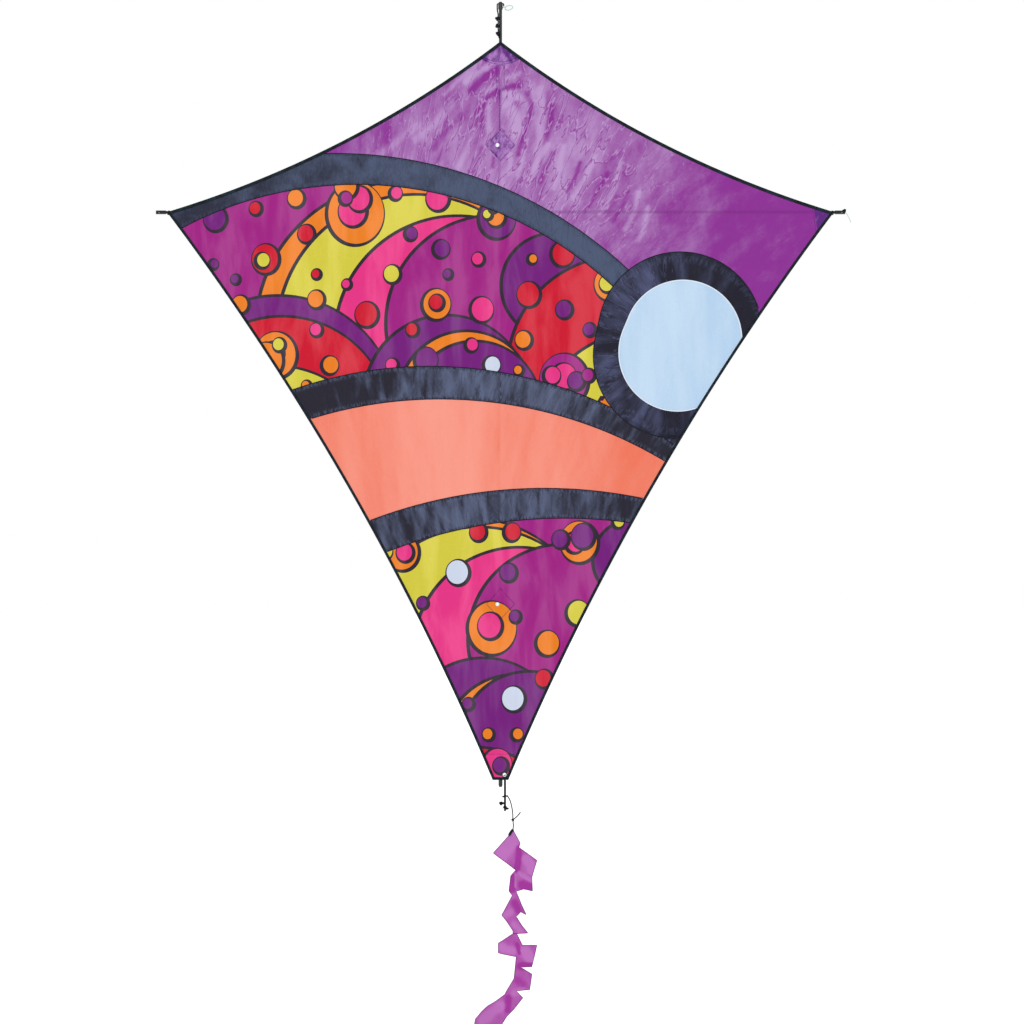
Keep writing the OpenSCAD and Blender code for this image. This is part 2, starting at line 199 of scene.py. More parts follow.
def sheen_streaked_nylon(name, deep, pale, streak=14.0, reach=110.0, low=0.42, high=0.58, crinkle=0.5,
                   gloss=0.5, lit=(0.05, -0.1), spread=(0.35, 0.5), lift=0.1,
                   shares=(0.25, 0.3, 0.2, 0.25), puckers=0.0, rod_behind=0.0, creases=0.0):
    """Thin coated nylon whose creases run across the UV map's first axis. Its pale colour is a painted sheen
    over the deep one. Its pale places, a painted pool of sheen, gather round the point lit, within spread,
    both in metres as x and z. shares weighs the broad, middle and small creases and the painted shine of the
    cloth's own folds; puckers is the strength of the creases at a seam, painted pale and deep as well as
    bumped; rod_behind is how dark the spreader shows through, as a painted shadow line; creases is the
    strength of the fine sharp ones, each drawn as a painted highlight line beside a painted shadow line."""
    s = Shader(name)
    deep, pale = cloth_colour(deep), cloth_colour(pale)

    def streaks(width, length, *settings):
        return s.noise(s.places("UV", (1 / (width * MM), 1 / (length * MM), 1)), *settings)

    broad = streaks(streak * 3.1, reach * 2.2, 3, 0.5, 0.1)
    middle = streaks(streak, reach, 2, 0.5, 0.3)
    small = streaks(5, 13, 3, 0.6, 1.6)
    sharp = streaks(15, 75, 3, 0.5, 0.4)
    centred = s.places("Object", (1 / spread[0], 0, 1 / spread[1]),
                       Location=(-lit[0] / spread[0], 0, -lit[1] / spread[1]))
    # near is the painted pool of sheen round the point lit
    near = s.ramp(s.add("VectorMath", "Value", {0: centred}, operation="LENGTH"), 1.15, 0.1)
    both = s.weighed(*zip((broad, middle, small, s.attribute("shine")), shares))
    lifted = s.maths("ADD", both, s.times(s.maths("SUBTRACT", near, 0.5), lift))
    sheen_share = s.ramp(lifted, low, high)
    where = s.times(s.ramp(s.times(small, near), 0.2, 0.5), creases)
    # Each sharp crease is drawn as a painted highlight line and, beside it, a painted shadow line
    for level, tone in ((0.5, WHITE), (0.535, BLACK)):
        line = s.times(s.ramp(s.off(sharp, level), CREASE_HALF, 0.002), where)
        sheen_share = s.mix(line, sheen_share, tone)
    folds = s.weighed((middle, 0.6), (small, 0.4), (line, -0.4))
    if puckers:
        slanted = s.places("UV", (1 / (3.4 * MM), 1 / (13 * MM), 1), Rotation=(0, 0, math.radians(28)))
        pucker = s.ramp(s.noise(slanted, 2, 0.5, 0.2), 0.40, 0.60)
        strength = s.times(s.ramp(s.attribute("seam_gap"), PUCKER_REACH, 0.001), puckers)
        # The seam puckers are painted pale and deep into the sheen, and bumped below
        sheen_share = s.mix(strength, sheen_share, pucker)
        folds = s.maths("ADD", folds, s.times(pucker, s.times(strength, 0.5)))
    colour = s.mix(sheen_share, deep, pale)
    # The spreader behind the cloth shows here as a painted shadow line
    if rod_behind:
        level = s.add("SeparateXYZ", "Z", {"Vector": s.add("TexCoord", "Object", {})})
        rod_shadow = s.times(s.ramp(s.off(level, SPREADER_Z), 0.0042, 0.0012), rod_behind)
        colour = s.mix(rod_shadow, colour, shaded(deep, 0.45))
    grain = s.fine_noise(900, 2, 0.5)
    roughness = s.maths("ADD", s.times(middle, 0.16), gloss - 0.08)
    normal = s.bump(grain, *WEAVE, Normal=s.bump(folds, crinkle, 0.003))
    return s.finish(s.grained(colour, grain, 0.10), roughness, normal, CLOTH_SPECULAR)


def printed_nylon(name, ink):
    """One flat colour of the printed cloth, with the cloth's mottling, weave and light creases."""
    s = Shader(name)
    ink = cloth_colour(ink)
    clouds = s.noise(s.places("Object", (26, 26, 6)), 4, 0.55, 0.4)
    creases = s.noise(s.places("Object", (70, 70, 22)), 4, 0.6, 0.7)
    grain = s.fine_noise(800, 2, 0.5)
    paler = tuple(c + (1 - c) * WASH * 0.3 for c in ink[:3]) + (1.0,)
    colour = s.mix(s.ramp(clouds, 0.36, 0.64), shaded(ink, 1 - WASH), paler)
    normal = s.bump(grain, *WEAVE, Normal=s.bump(creases, 0.22, 0.0018))
    return s.finish(s.grained(colour, grain, 0.12), 0.62, normal, CLOTH_SPECULAR)


def woven_tape(name, dark, light, rib=1.1):
    """Folded tape with fine ribs across its width. UV runs along the tape."""
    s = Shader(name)
    ribs = s.add("TexWave", "Fac", {"Vector": s.places("UV", (1 / (rib * MM), 0, 1)),
                                    "Scale": 1.0, "Distortion": 0.6, "Detail": 1.0})
    puckers = s.noise(s.places("UV", (90, 260, 1)), 4, 0.6, 0.4)
    colour = s.tones(puckers, 0.38, 0.72, dark, light)
    normal = s.bump(ribs, 0.25, 0.0002, Normal=s.bump(puckers, 0.55, 0.001))
    return s.finish(colour, 0.55, normal, CLOTH_SPECULAR)


def braided_cord(name, dark, light, pitch=2.2):
    """Round braid: two families of strands that cross on a slant."""
    s = Shader(name)
    families = []
    for lean in (1, -1):
        slanted = s.places("Object", (1 / (pitch * MM),) * 3, Rotation=(0, lean * math.radians(52), 0))
        families.append(s.add("TexWave", "Fac", {"Vector": slanted, "Scale": 0.5, "Distortion": 0.3},
                              bands_direction="X"))
    strands = s.maths("MAXIMUM", *families)
    colour = s.tones(strands, 0.3, 0.95, dark, light)
    normal = s.bump(s.fine_noise(1500, 3, 0.6), 0.3, 0.0002, Normal=s.bump(strands, 0.6, 0.0004))
    return s.finish(colour, 0.75, normal, 0.12)


def moulded(name, dark, light, roughness, grain_scale=700.0, depth=0.0001, specular=0.5, metallic=0.0):
    """Moulded plastic or drawn metal with a fine grain and worn patches."""
    s = Shader(name)
    wear = s.fine_noise(120, 5, 0.65, 0.3)
    colour = s.tones(wear, 0.45, 0.8, dark, light)
    rough = s.maths("ADD", s.times(wear, 0.2), roughness - 0.1)
    normal = s.bump(s.fine_noise(grain_scale, 4, 0.6), 0.3, depth)
    return s.finish(colour, rough, normal, specular, metallic)


def pultruded(name, dark, light):
    """Glass-fibre rod with fine streaks along Z, the way the spine lies."""
    s = Shader(name)
    upright = s.noise(s.places("Object", (1800, 1800, 25)), 3, 0.6)
    wear = s.fine_noise(40, 5, 0.6, 0.4)
    colour = s.tones(s.times(upright, wear), 0.15, 0.4, dark, light)
    rough = s.maths("ADD", s.times(wear, 0.18), 0.24)
    return s.finish(colour, rough, s.bump(upright, 0.25, 0.0001), 0.3)


# Each streaked cloth: its deep colour, then its pale one, which is painted sheen pooled round the point lit
purple_cloth = sheen_streaked_nylon("purple_nylon", (140, 42, 148), (190, 152, 206), 17, 60, 0.40, 0.76,
                              lit=(0.04, -0.03), spread=(0.46, 0.36), lift=0.2,
                              shares=(0.3, 0.2, 0.1, 0.4), rod_behind=0.3, creases=0.8)
purple_double = sheen_streaked_nylon("purple_nylon_double", (96, 34, 128), (176, 124, 194), 6, 14, 0.44, 0.64,
                               crinkle=0.7, lit=(0.06, -0.03), spread=(0.44, 0.34), lift=0.14, creases=0.4)
smooth_black_cloth = sheen_streaked_nylon("black_nylon_smooth", (34, 36, 56), (74, 86, 114), 26, 34, 0.36, 0.64,
                                    crinkle=0.3, lit=(0.16, -0.1), spread=(0.75, 0.6), lift=0.2,
                                    shares=(0.3, 0.25, 0.2, 0.25), puckers=0.35, creases=0.25)
black_cloth = sheen_streaked_nylon("black_nylon", (30, 28, 44), (92, 102, 132), 21, 80, 0.44, 0.67, 0.7, 0.4,
                             lit=(0.0, -0.45), spread=(0.32, 1.6), lift=0.15,
                             shares=(0.2, 0.4, 0.07, 0.33), puckers=0.6, creases=0.3)
ring_cloth = sheen_streaked_nylon("ring_nylon", (20, 19, 38), (88, 94, 132), 22, 80, 0.46, 0.72, 0.7, 0.4,
                            lit=(0.22, -0.3), spread=(0.2, 0.4), lift=0.08,
                            shares=(0.3, 0.3, 0.05, 0.35), puckers=0.2, creases=0.5)
orange_cloth = sheen_streaked_nylon("orange_nylon", (238, 112, 82), (250, 156, 138), 42, 200, 0.27, 0.72, 0.12,
                              lit=(-0.08, -0.55), spread=(0.34, 0.5), lift=0.24,
                              shares=(0.35, 0.25, 0.1, 0.3), creases=0.06)
disc_cloth = sheen_streaked_nylon("pale_blue_nylon", (176, 206, 236), (198, 222, 244), 34, 170, 0.36, 0.64, 0.12,
                            lit=(0.28, -0.36), spread=(0.2, 0.3),
                            shares=(0.3, 0.3, 0.1, 0.3), creases=0.2)
disc_hem_cloth = sheen_streaked_nylon("disc_hem_nylon", (226, 238, 250), (252, 254, 255), crinkle=0.3)
tail_cloth = sheen_streaked_nylon("tail_nylon", (164, 50, 156), (192, 112, 190), 16, 40, 0.36, 0.68, 0.3,
                            lit=(0.0, -1.4), spread=(0.3, 0.6), lift=0.04, shares=(0.15, 0.15, 0.1, 0.6))
# The ribbon's rolled edge is a darker copy of its cloth: painted shade along the edge
tail_edge_shade_cloth = sheen_streaked_nylon("tail_edge_nylon", (110, 24, 116), (150, 60, 152))
PRINT_COLOURS = {
    "magenta": (166, 26, 136), "violet": (120, 20, 128), "pink": (238, 50, 138), "red": (214, 10, 46),
    "yellow": (220, 210, 66), "orange": (244, 132, 26), "white": (214, 224, 244), "ink": (46, 34, 50),
}
print_cloths = {key: printed_nylon("print_" + key, ink) for key, ink in PRINT_COLOURS.items()}
binding_tape = woven_tape("binding_tape", (1, 8, 16), (18, 38, 50))
# The seams' folded edges: real folds of the black cloth, coloured darker than it as painted shade along each
# seam
seam_shade_tape = woven_tape("seam_fold", (8, 6, 18), (26, 26, 46))
dark_thread = woven_tape("dark_thread", (10, 10, 24), (60, 72, 94), 0.5)
purple_thread = woven_tape("purple_thread", (40, 14, 84), (78, 36, 116), 0.5)
black_cord = braided_cord("black_cord", (3, 5, 8), (26, 32, 38))
pale_line = braided_cord("pale_line", (120, 148, 156), (206, 222, 226), 1.4)
rod_material = pultruded("fibre_rod", (6, 12, 16), (24, 34, 40))
black_plastic = moulded("black_plastic", (12, 13, 16), (34, 36, 40), 0.42)
vinyl = moulded("soft_vinyl", (10, 10, 12), (30, 30, 33), 0.62, 400, 0.0002, 0.4)
ferrule_metal = moulded("ferrule_aluminium", (150, 152, 156), (196, 198, 202), 0.34, 1600, 0.00006,
                        metallic=1.0)
eyelet_plastic = moulded("eyelet_plastic", (206, 212, 218), (240, 244, 246), 0.3, 300, 0.00008)

# --- mesh helpers ---

END_TAPER = 0.72  # a cut end of cord is this much thinner


def make_mesh(name, points, faces, materials, uvs, face_materials=None):
    """points, and the UV pair of each point, are in millimetres."""
    data = bpy.data.meshes.new(name)
    places = np.asarray(points, float) * MM
    data.from_pydata(places.tolist(), [], [list(map(int, face)) for face in faces])
    for material in materials:
        data.materials.append(material)
    if face_materials is not None:
        data.polygons.foreach_set("material_index", np.asarray(face_materials, np.int32))
    data.polygons.foreach_set("use_smooth", np.full(len(data.polygons), True))
    layer = data.uv_layers.new(name="UVMap")
    owners = np.zeros(len(data.loops), np.int32)
    data.loops.foreach_get("vertex_index", owners)
    spread = (np.asarray(uvs, float) * MM)[owners]
    layer.data.foreach_set("uv", spread.ravel().astype(np.float32))
    data.update()
    return new_object(name, data)


def set_values(piece, label, values):
    """One number per point, which the materials read."""
    layer = piece.data.attributes.new(label, "FLOAT", "POINT")
    layer.data.foreach_set("value", values.astype(np.float32))


class Builder:
    """Collects points, faces and UVs of many small pieces of one mesh."""

    def __init__(self):
        self.points = []
        self.faces = []
        self.uvs = []

    def put(self, points, faces, uvs):
        first = len(self.points)
        self.points.extend(points)
        self.uvs.extend(uvs)
        self.faces.extend([first + index for index in face] for face in faces)

    def make(self, name, material):
        return make_mesh(name, self.points, self.faces, [material], self.uvs)


def travelled(line):
    """How far along a line each of its points is."""
    return np.concatenate([[0], np.cumsum(np.linalg.norm(np.diff(line, axis=0), axis=1))])


def directions(line):
    way = np.gradient(np.asarray(line, float), axis=0)
    return way / np.linalg.norm(way, axis=1)[:, None]


def turned(u, v, angle):
    return u * math.cos(angle) - v * math.sin(angle), u * math.sin(angle) + v * math.cos(angle)


def resample(points, step):
    """Points of a polyline at about equal steps."""
    points = np.asarray(points, float)
    lengths = travelled(points)
    wanted = np.linspace(0, lengths[-1], max(2, int(round(lengths[-1] / step)) + 1))
    return np.stack([np.interp(wanted, lengths, points[:, k]) for k in range(points.shape[1])], 1)


def smooth_route(points, step):
    """A smooth curve through given points, at equal steps."""
    p = np.asarray(points, float)
    padded = np.vstack([2 * p[0] - p[1], p, 2 * p[-1] - p[-2]])
    out = []
    for k in range(1, len(padded) - 2):
        a, b, c, d = padded[k - 1:k + 3]
        for t in np.linspace(0, 1, 9)[:-1]:
            out.append(0.5 * (2 * b + (c - a) * t + (2 * a - 5 * b + 4 * c - d) * t ** 2
                              + (3 * b - a - 3 * c + d) * t ** 3))
    out.append(p[-1])
    return resample(out, step)


def closed(loop):
    return np.vstack([loop, loop[:1]])


def ring_faces(rings, sides, joined=False):
    """Quads between rings of points. When joined, the last ring meets the first."""
    faces = []
    for k in range(rings if joined else rings - 1):
        here, there = k * sides, (k + 1) % rings * sides
        for q in range(sides):
            after = (q + 1) % sides
            faces.append([here + q, here + after, there + after, there + q])
    return faces


def tube_mesh(builder, route, radius, sides=10, taper_ends=True):
    """A round tube along a route in millimetres, with a flat cap on each end."""
    route = np.asarray(route, float)
    tangents = directions(route)
    side = np.cross(tangents[0], [0.0, 1.0, 0.0])
    if np.linalg.norm(side) < 0.2:
        side = np.cross(tangents[0], [1.0, 0.0, 0.0])
    points = []
    uvs = []
    last = len(route) - 1
    for k, (place, along, far) in enumerate(zip(route, tangents, travelled(route))):
        side = side - along * np.dot(side, along)
        side /= np.linalg.norm(side)
        other = np.cross(along, side)
        r = radius * END_TAPER if taper_ends and k in (0, last) else radius
        for q in range(sides):
            angle = 2 * math.pi * q / sides
            points.append(place + r * (math.cos(angle) * side + math.sin(angle) * other))
            uvs.append((far, radius * angle))
    ends = [list(range(sides))[::-1], [last * sides + q for q in range(sides)]]
    builder.put(points, ring_faces(len(route), sides) + ends, uvs)


def strand(builder, points, step, radius, sides=10):
    """A piece of cord on a smooth route through a few points."""
    tube_mesh(builder, smooth_route(points, step), radius, sides)


def overhand_knot(builder, centre, size, radius, turn=0.0, lean=0.0):
    """A closed overhand knot of cord about a centre, in millimetres."""
    t = np.linspace(0, 2 * math.pi, 49)
    scale = (size - radius) / 3.0
    x, z = turned((np.sin(t) + 2 * np.sin(2 * t)) * scale, (np.cos(t) - 2 * np.cos(2 * t)) * scale, turn)
    y, z = turned(-np.sin(3 * t) * scale * 1.2, z, lean)
    tube_mesh(builder, np.stack([x, y, z], 1) + centre, radius, 8, False)


# --- cords ---

LEADER_D = 3.8
TIE_D = 2.0
LEADER_ROUTE = [(8, 1.5, -1124), (8, 1.5, -1186)]
TIE_ROUTE = [(12.6, 1.5, -1160), (16, 1.5, -1165), (19, 1.5, -1174), (21, 1.5, -1184), (22, 1.5, -1194),
             (22, 1.5, -1202), (23, 1.5, -1212), (22, 1.5, -1220)]


def cord_curve(name, route, diameter, material):
    data = bpy.data.curves.new(name, "CURVE")
    data.dimensions = "3D"
    data.bevel_depth = diameter / 2 * MM
    data.bevel_resolution = 4
    data.use_fill_caps = True
    spline = data.splines.new("POLY")
    spline.points.add(len(route) - 1)
    for point, place in zip(spline.points, route):
        point.co = (*(float(c) * MM for c in place), 1)
    data.materials.append(material)
    return new_object(name, data)


leader = cord_curve("leader_cord", resample(LEADER_ROUTE, 3), LEADER_D, black_cord)
knots = Builder()
overhand_knot(knots, (8, 1.5, -1124), 3.4, 1.3, 0.3)
overhand_knot(knots, (8, 1.5, -1179), 3.8, 1.6, 1.1)
strand(knots, [(8, 1.5, -1170), (5, 1.5, -1172.5), (2.4, 1.5, -1173.5)], 1.5, 1.6)
overhand_knot(knots, (0.9, 1.5, -1172.5), 3.9, 1.7, 0.1)
strand(knots, [(8, 0, -1182), (11, -2.2, -1181.5), (14.5, -3, -1181)], 1.5, 1.9)
leader_knots = knots.make("leader_knots", black_cord)

tie = cord_curve("tail_tie_cord", smooth_route(TIE_ROUTE, 2.5), TIE_D, black_cord)
knots = Builder()
ring_route = [(8 + 4.6 * math.cos(a), 1.5 + 4.6 * math.sin(a), -1160 + 0.8 * math.cos(a))
              for a in np.linspace(0, 2 * math.pi, 33)]
tube_mesh(knots, ring_route, 1.0, 8, False)
overhand_knot(knots, (22, 1.5, -1202), 3.0, 1.0, 0.4)
strand(knots, [(22, 1.5, -1202), (27, 1.5, -1198), (32, 1.5, -1193), (36, 1.5, -1188)], 2, 1.0)
strand(knots, [(23, 1.5, -1219), (19, 0.5, -1223), (15, 0, -1230)], 2, 2.4)
tie_knots = knots.make("tail_tie_knots", black_cord)
settle(leader, "leader", "tail_leader")
settle(leader_knots, "leader")
settle(tie, "tail_upper", "tail_tie")
settle(tie_knots, "tail_upper")

# --- the sail's outline ---

NOSE = np.array([0.0, 185.0])
TIP = np.array([594.0, -119.0])
BOTTOM = np.array([14.0, -1130.0])
LEADING = (NOSE, TIP, 30.0)  # the ends of an edge, and how far it is hollowed
TRAILING = (TIP, BOTTOM, 36.0)
LEAD_BIND = 6.0
TRAIL_BIND = 5.0
CLOTH_Y = -6.25
# Seam arcs from the top down, as the centre's x and z and the radius
SEAMS = ((-294, -773, 758), (-256, -732, 662), (-125, -1136, 742), (-107, -1229, 777), (78, -1480, 869),
         (113, -1521, 857))
UPPER_TOP, UPPER_LOW, MIDDLE_TOP, MIDDLE_LOW, LOWER_TOP, LOWER_LOW = SEAMS
DISC = ((320, -357), 105, (5, 12))
RING = ((316, -356), 146, (4, 19))
BAND_CORNER = [(280, -560), (340, -560), (340, -518), (280, -518)]
EYELETS = {"upper_eyelet": (-5.4, 0.0), "lower_eyelet": (-5.4, -817.0), "tail_eyelet": (7.3, -1120.6)}
EYELET_CUT = 2.75


def edge_circle(a, b, sag):
    """The circle that an edge of the right half lies on: directions along and inward, centre, radius."""
    chord = np.linalg.norm(b - a)
    along = (b - a) / chord
    inward = np.array([along[1], -along[0]])
    radius = chord ** 2 / (8 * sag) + sag / 2
    return along, inward, (a + b) / 2 - inward * (radius - sag), radius


def edge_arc(edge, steps=64, inset=0.0):
    """An edge of the right half, moved inset into the sail."""
    along, inward, centre, radius = edge_circle(*edge)
    half_angle = math.asin(np.linalg.norm(edge[1] - edge[0]) / (2 * radius))
    angles = np.linspace(-half_angle, half_angle, steps + 1)[:, None]
    return centre + (radius + inset) * (np.sin(angles) * along + np.cos(angles) * inward)


def edge_distance(x, z):
    """Distance into the sail from its nearest edge, in millimetres."""
    p = np.stack([np.abs(x), z], 1)
    best = z - BOTTOM[1]
    for edge in (LEADING, TRAILING):
        _, _, centre, radius = edge_circle(*edge)
        best = np.minimum(best, np.linalg.norm(p - centre, axis=1) - radius)
    return np.maximum(best, 0)


def mirrored(points, side):
    return np.asarray(points, float) * np.array([side, 1.0])


def stretched_circle(centre, r, stretch, steps=96):
    """A circle whose two halves are moved apart, by stretch each."""
    angles = 2 * math.pi * np.arange(steps) / steps
    way = np.stack([np.cos(angles), np.sin(angles)], 1)
    shift = np.array(stretch, float)
    return np.array(centre) + r * way + np.where(way @ shift >= 0, 1, -1)[:, None] * shift


def arc_line(arc, reach, step):
    """The upper part of a seam circle, as far as reach from the spine."""
    cx, cz, r = arc
    start = math.asin((max(-reach, cx - r * 0.98) - cx) / r)
    end = math.asin((min(reach, cx + r * 0.98) - cx) / r)
    angles = np.linspace(start, end, int(abs(end - start) * r / step) + 2)
    return np.stack([cx + r * np.sin(angles), cz + r * np.cos(angles)], 1)


def grown(arc, by):
    return (arc[0], arc[1], arc[2] + by)


def half_outline(inset):
    lead = edge_arc(LEADING, inset=inset)
    trail = edge_arc(TRAILING, inset=inset)
    lead[:, 0] = np.maximum(lead[:, 0], 0)
    low = BOTTOM[1] + inset
    return np.vstack([[[0, lead[0][1]]], lead[1:-1], [[TIP[0] - 2.2 * inset, TIP[1]]], trail[1:-1],
                      [[BOTTOM[0] - inset * 0.5, low], [0, low]]])


def inside(points, loop):
    """Which points lie inside a closed loop, by the even-odd rule."""
    loop = np.asarray(loop, float)
    near = np.where(((points >= loop.min(0)) & (points <= loop.max(0))).all(1))[0]
    x, z = points[near].T
    found = np.zeros(len(near), bool)
    for before, here in zip(np.roll(loop, 1, 0), loop):
        rise = before[1] - here[1]
        if rise != 0:
            crosses = (here[1] > z) != (before[1] > z)
            found ^= crosses & (x < (before[0] - here[0]) * (z - here[1]) / rise + here[0])
    hit = np.zeros(len(points), bool)
    hit[near] = found
    return hit


def about(x, z, arc):
    """Places seen from an arc's centre: how far round the arc, and how far from the centre."""
    dx, dz = x - arc[0], z - arc[1]
    return np.arctan2(dx, dz) * arc[2], np.hypot(dx, dz)


def in_circle(points, arc):
    return about(*points.T, arc)[1] < arc[2]


def square_grid(low, high, step):
    axes = [np.arange(start, end, step) for start, end in zip(low, high)]
    return np.stack(np.meshgrid(*axes), 2).reshape(-1, 2)


# --- the sail's relief ---

SEAM_EASE = 10.0
DIP_START = 0.2  # the cloth sinks back freely by this much, and by no more than this plus the depth
DIP_DEPTH = 0.6
EDGE_HOLD = 22  # the folds die down this near to an edge
BILLOW = 5.0  # the cloth billows forward this far, away from its edges and the rods
BILLOW_EDGE = 130
BILLOW_ROD = 110
SPINE_RIDGE = (0.7, 4.5)  # height and half width of the ridge over the spine
# Folds across the seams: arc, wave, (height, reach) on the outside and on the inside, seed
GATHERS = [
    (UPPER_TOP, 15, (1.4, 95), (0.5, 60), 3), (UPPER_LOW, 19, (0.3, 50), (0.3, 25), 5),
    (MIDDLE_TOP, 11, (0.3, 20), (0.8, 60), 7), (MIDDLE_LOW, 13, (0.6, 50), (0.4, 60), 9),
    (LOWER_TOP, 11, (0.3, 60), (0.8, 60), 11), (LOWER_LOW, 13, (0.6, 50), (0.3, 25), 13),
    ((*DISC[0], DISC[1] + 8), 12, (0.8, 45), (0.3, 30), 15),
]
# Creases seen in the nose panel, drawn only as painted highlight and shade: x and z of three to five points
# in millimetres, then the half width, then over 0 where the crease is a painted highlight and under 0 where
# it is painted shade
SHEEN_AND_SHADE_STROKES = [
    (-62, 113, -40, 131, -15, 143, 6, 1), (-101, 89, -70, 120, -34, 149, 3.5, 0.7),
    (-52, 97, -30, 118, -9, 133, 6, -1), (-34, 84, -18, 100, -5, 108, 5, 0.8),
    (-40, 62, -24, 84, -5, 97, 5, -0.7), (7, 99, 22, 105, 34, 107, 5, -1),
    (12, 118, 24, 123, 34, 128, 4, 0.7), (9, 92, 20, 90, 32, 84, 7, 1), (12, 70, 26, 50, 26, 25, 11, 1),
    (8, 62, 20, 70, 32, 80, 3, -0.6), (48, 92, 55, 66, 48, 38, 36, 4, 33, -16, 5, -1),
    (-18, 80, -21, 56, -20, 30, 4, 0.8), (-31, 74, -34, 50, -30, 20, 4, -0.6),
    (72, 100, 74, 50, 66, -10, 60, -44, 7, 0.6), (92, 70, 84, 20, 70, -34, 5, -0.7),
    (52, -62, 66, -30, 84, 2, 4, 0.9), (70, -66, 80, -40, 92, -12, 3.5, -0.9),
    (96, -76, 104, -40, 112, -2, 4, 0.8), (118, -84, 132, -58, 142, -30, 3.5, -1),
    (130, -94, 150, -60, 166, -20, 4.5, 0.9), (158, -110, 176, -78, 190, -50, 3.5, -0.8),
    (176, -122, 200, -84, 214, -30, 4.5, 0.9), (200, -136, 216, -110, 228, -82, 3.5, -0.7),
    (222, -150, 238, -118, 246, -84, 4.5, 0.8), (246, -170, 258, -140, 262, -110, 4, 0.7),
    (-150, 10, -120, 36, -86, 74, 7, 0.5), (-120, -6, -98, 22, -70, 52, 6, -0.5),
    (-230, -28, -190, 2, -150, 34, 7, 0.5), (-76, -40, -60, -10, -48, 20, 5, 0.7),
    (-52, -46, -42, -24, -34, -4, 4, -0.7), (14, -50, 18, -30, 15, -14, 4, 0.8),
    (30, -54, 38, -30, 40, -10, 4, 0.7), (-14, -40, -12, -26, -12, -16, 3, -0.8),
    (-8, 165, -14, 158, -22, 156, 3, 0.8), (6, 172, 12, 160, 18, 152, 3, -0.7),
    (5, 158, 8, 148, 10, 140, 3, 0.8),
]


def lattice(seed):
    return np.random.RandomState(seed).rand(128, 128) * 2 - 1


def value_noise(table, u, v):
    u0, v0 = np.floor(u).astype(int), np.floor(v).astype(int)
    fu, fv = u - u0, v - v0
    fu = fu ** 3 * (fu * (fu * 6 - 15) + 10)
    fv = fv ** 3 * (fv * (fv * 6 - 15) + 10)
    a, b, c, d = [table[(u0 + i) % 128, (v0 + j) % 128] for i, j in ((0, 0), (1, 0), (0, 1), (1, 1))]
    return (a * (1 - fu) + b * fu) * (1 - fv) + (c * (1 - fu) + d * fu) * fv


def creased(table, u, v):
    """Noise with some sharp folds in it."""
    fold = value_noise(table.T, u * 1.3 + 11.5, v * 0.9 + 3.7)
    return 0.6 * value_noise(table, u, v) + 0.5 * (0.45 - np.abs(fold))


def gathers(x, z, arc, wave, outward, inward, seed):
    """Folds that run across a seam arc. outward and inward are (height, reach) on each side of it."""
    travel, far = about(x, z, arc)
    off = far - arc[2]
    shape = creased(lattice(seed), travel / wave + off * 0.004, off / 70)
    share = np.clip(off / SEAM_EASE + 0.5, 0, 1)
    share = share * share * (3 - 2 * share)
    out_height = outward[0] * np.exp(-np.maximum(off, 0) / outward[1])
    in_height = inward[0] * np.exp(-np.maximum(-off, 0) / inward[1])
    return shape * (out_height * share + in_height * (1 - share))


def rays(dx, dz, height, seed, wave, reach):
    """Creases that run out from a corner of the sail."""
    far = np.hypot(dx, dz)
    shape = creased(lattice(seed), np.arctan2(dz, dx) * 9, far / wave)
    return height * shape * np.exp(-far / reach) * np.minimum(far / 40, 1)


def stroke_field(x, z, strokes):
    """The drawn strokes at each place: about -1 on a deep one and 1 on a pale one. The sail's strokes give
    painted highlight and shade; the tail's also fold the ribbon.
    """
    out = np.zeros(len(x))
    near = np.where((z > -190) | (z < -1200))[0]
    spots = np.stack([x[near], z[near]], 1)
    for *line, width, strength in strokes:
        path = smooth_route(np.reshape(line, (-1, 2)), 4)
        best = np.full(len(spots), 1e9)
        for a, b in zip(path[:-1], path[1:]):
            t = np.clip(((spots - a) @ (b - a)) / ((b - a) @ (b - a)), 0, 1)
            best = np.minimum(best, np.linalg.norm(spots - a - t[:, None] * (b - a), axis=1))
        out[near] += strength * np.exp(-(best / width) ** 3)
    return out


def away(distance, reach):
    """0 at a place and 1 well away from it."""
    return 1 - np.exp(-(distance / reach) ** 2)


def relief(x, z):
    """How far the cloth stands forward of its flat place, in millimetres."""
    from_edge = edge_distance(x, z)
    hold = away(from_edge, EDGE_HOLD)
    bulge = away(from_edge, BILLOW_EDGE) * away(x, BILLOW_ROD)
    bulge = BILLOW * bulge * away(z - TIP[1], BILLOW_ROD)
    out = sum(gathers(x, z, *row) for row in GATHERS)
    for side in (LEFT, RIGHT):
        out += rays(TIP[0] - side * x, z - TIP[1], 1.5, 21 + side, 190, 230)
    out += rays(NOSE[1] - z, x, 1.1, 31, 120, 170)
    out += 0.75 * creased(lattice(41), x / 30 + z / 150, z / 85)
    out += 0.30 * creased(lattice(43), x / 12 + z / 90, z / 34)
    eye_x = x - EYELETS["upper_eyelet"][0]
    eye_far = np.hypot(eye_x, z)
    puckers = np.cos(8 * np.arctan2(z, eye_x)) * np.exp(-(eye_far / 20) ** 2)
    out += 0.7 * puckers * np.minimum(eye_far / 8, 1)
    ridge = SPINE_RIDGE[0] * np.exp(-(x / SPINE_RIDGE[1]) ** 2)
    out = out * (0.22 + 0.78 * hold) + bulge + ridge
    sunk = np.minimum(out + DIP_START, 0)
    return np.where(out < -DIP_START, -DIP_START - DIP_DEPTH * (1 - np.exp(sunk / DIP_DEPTH)), out)


def sail_y(x, z):
    return CLOTH_Y - relief(x, z)


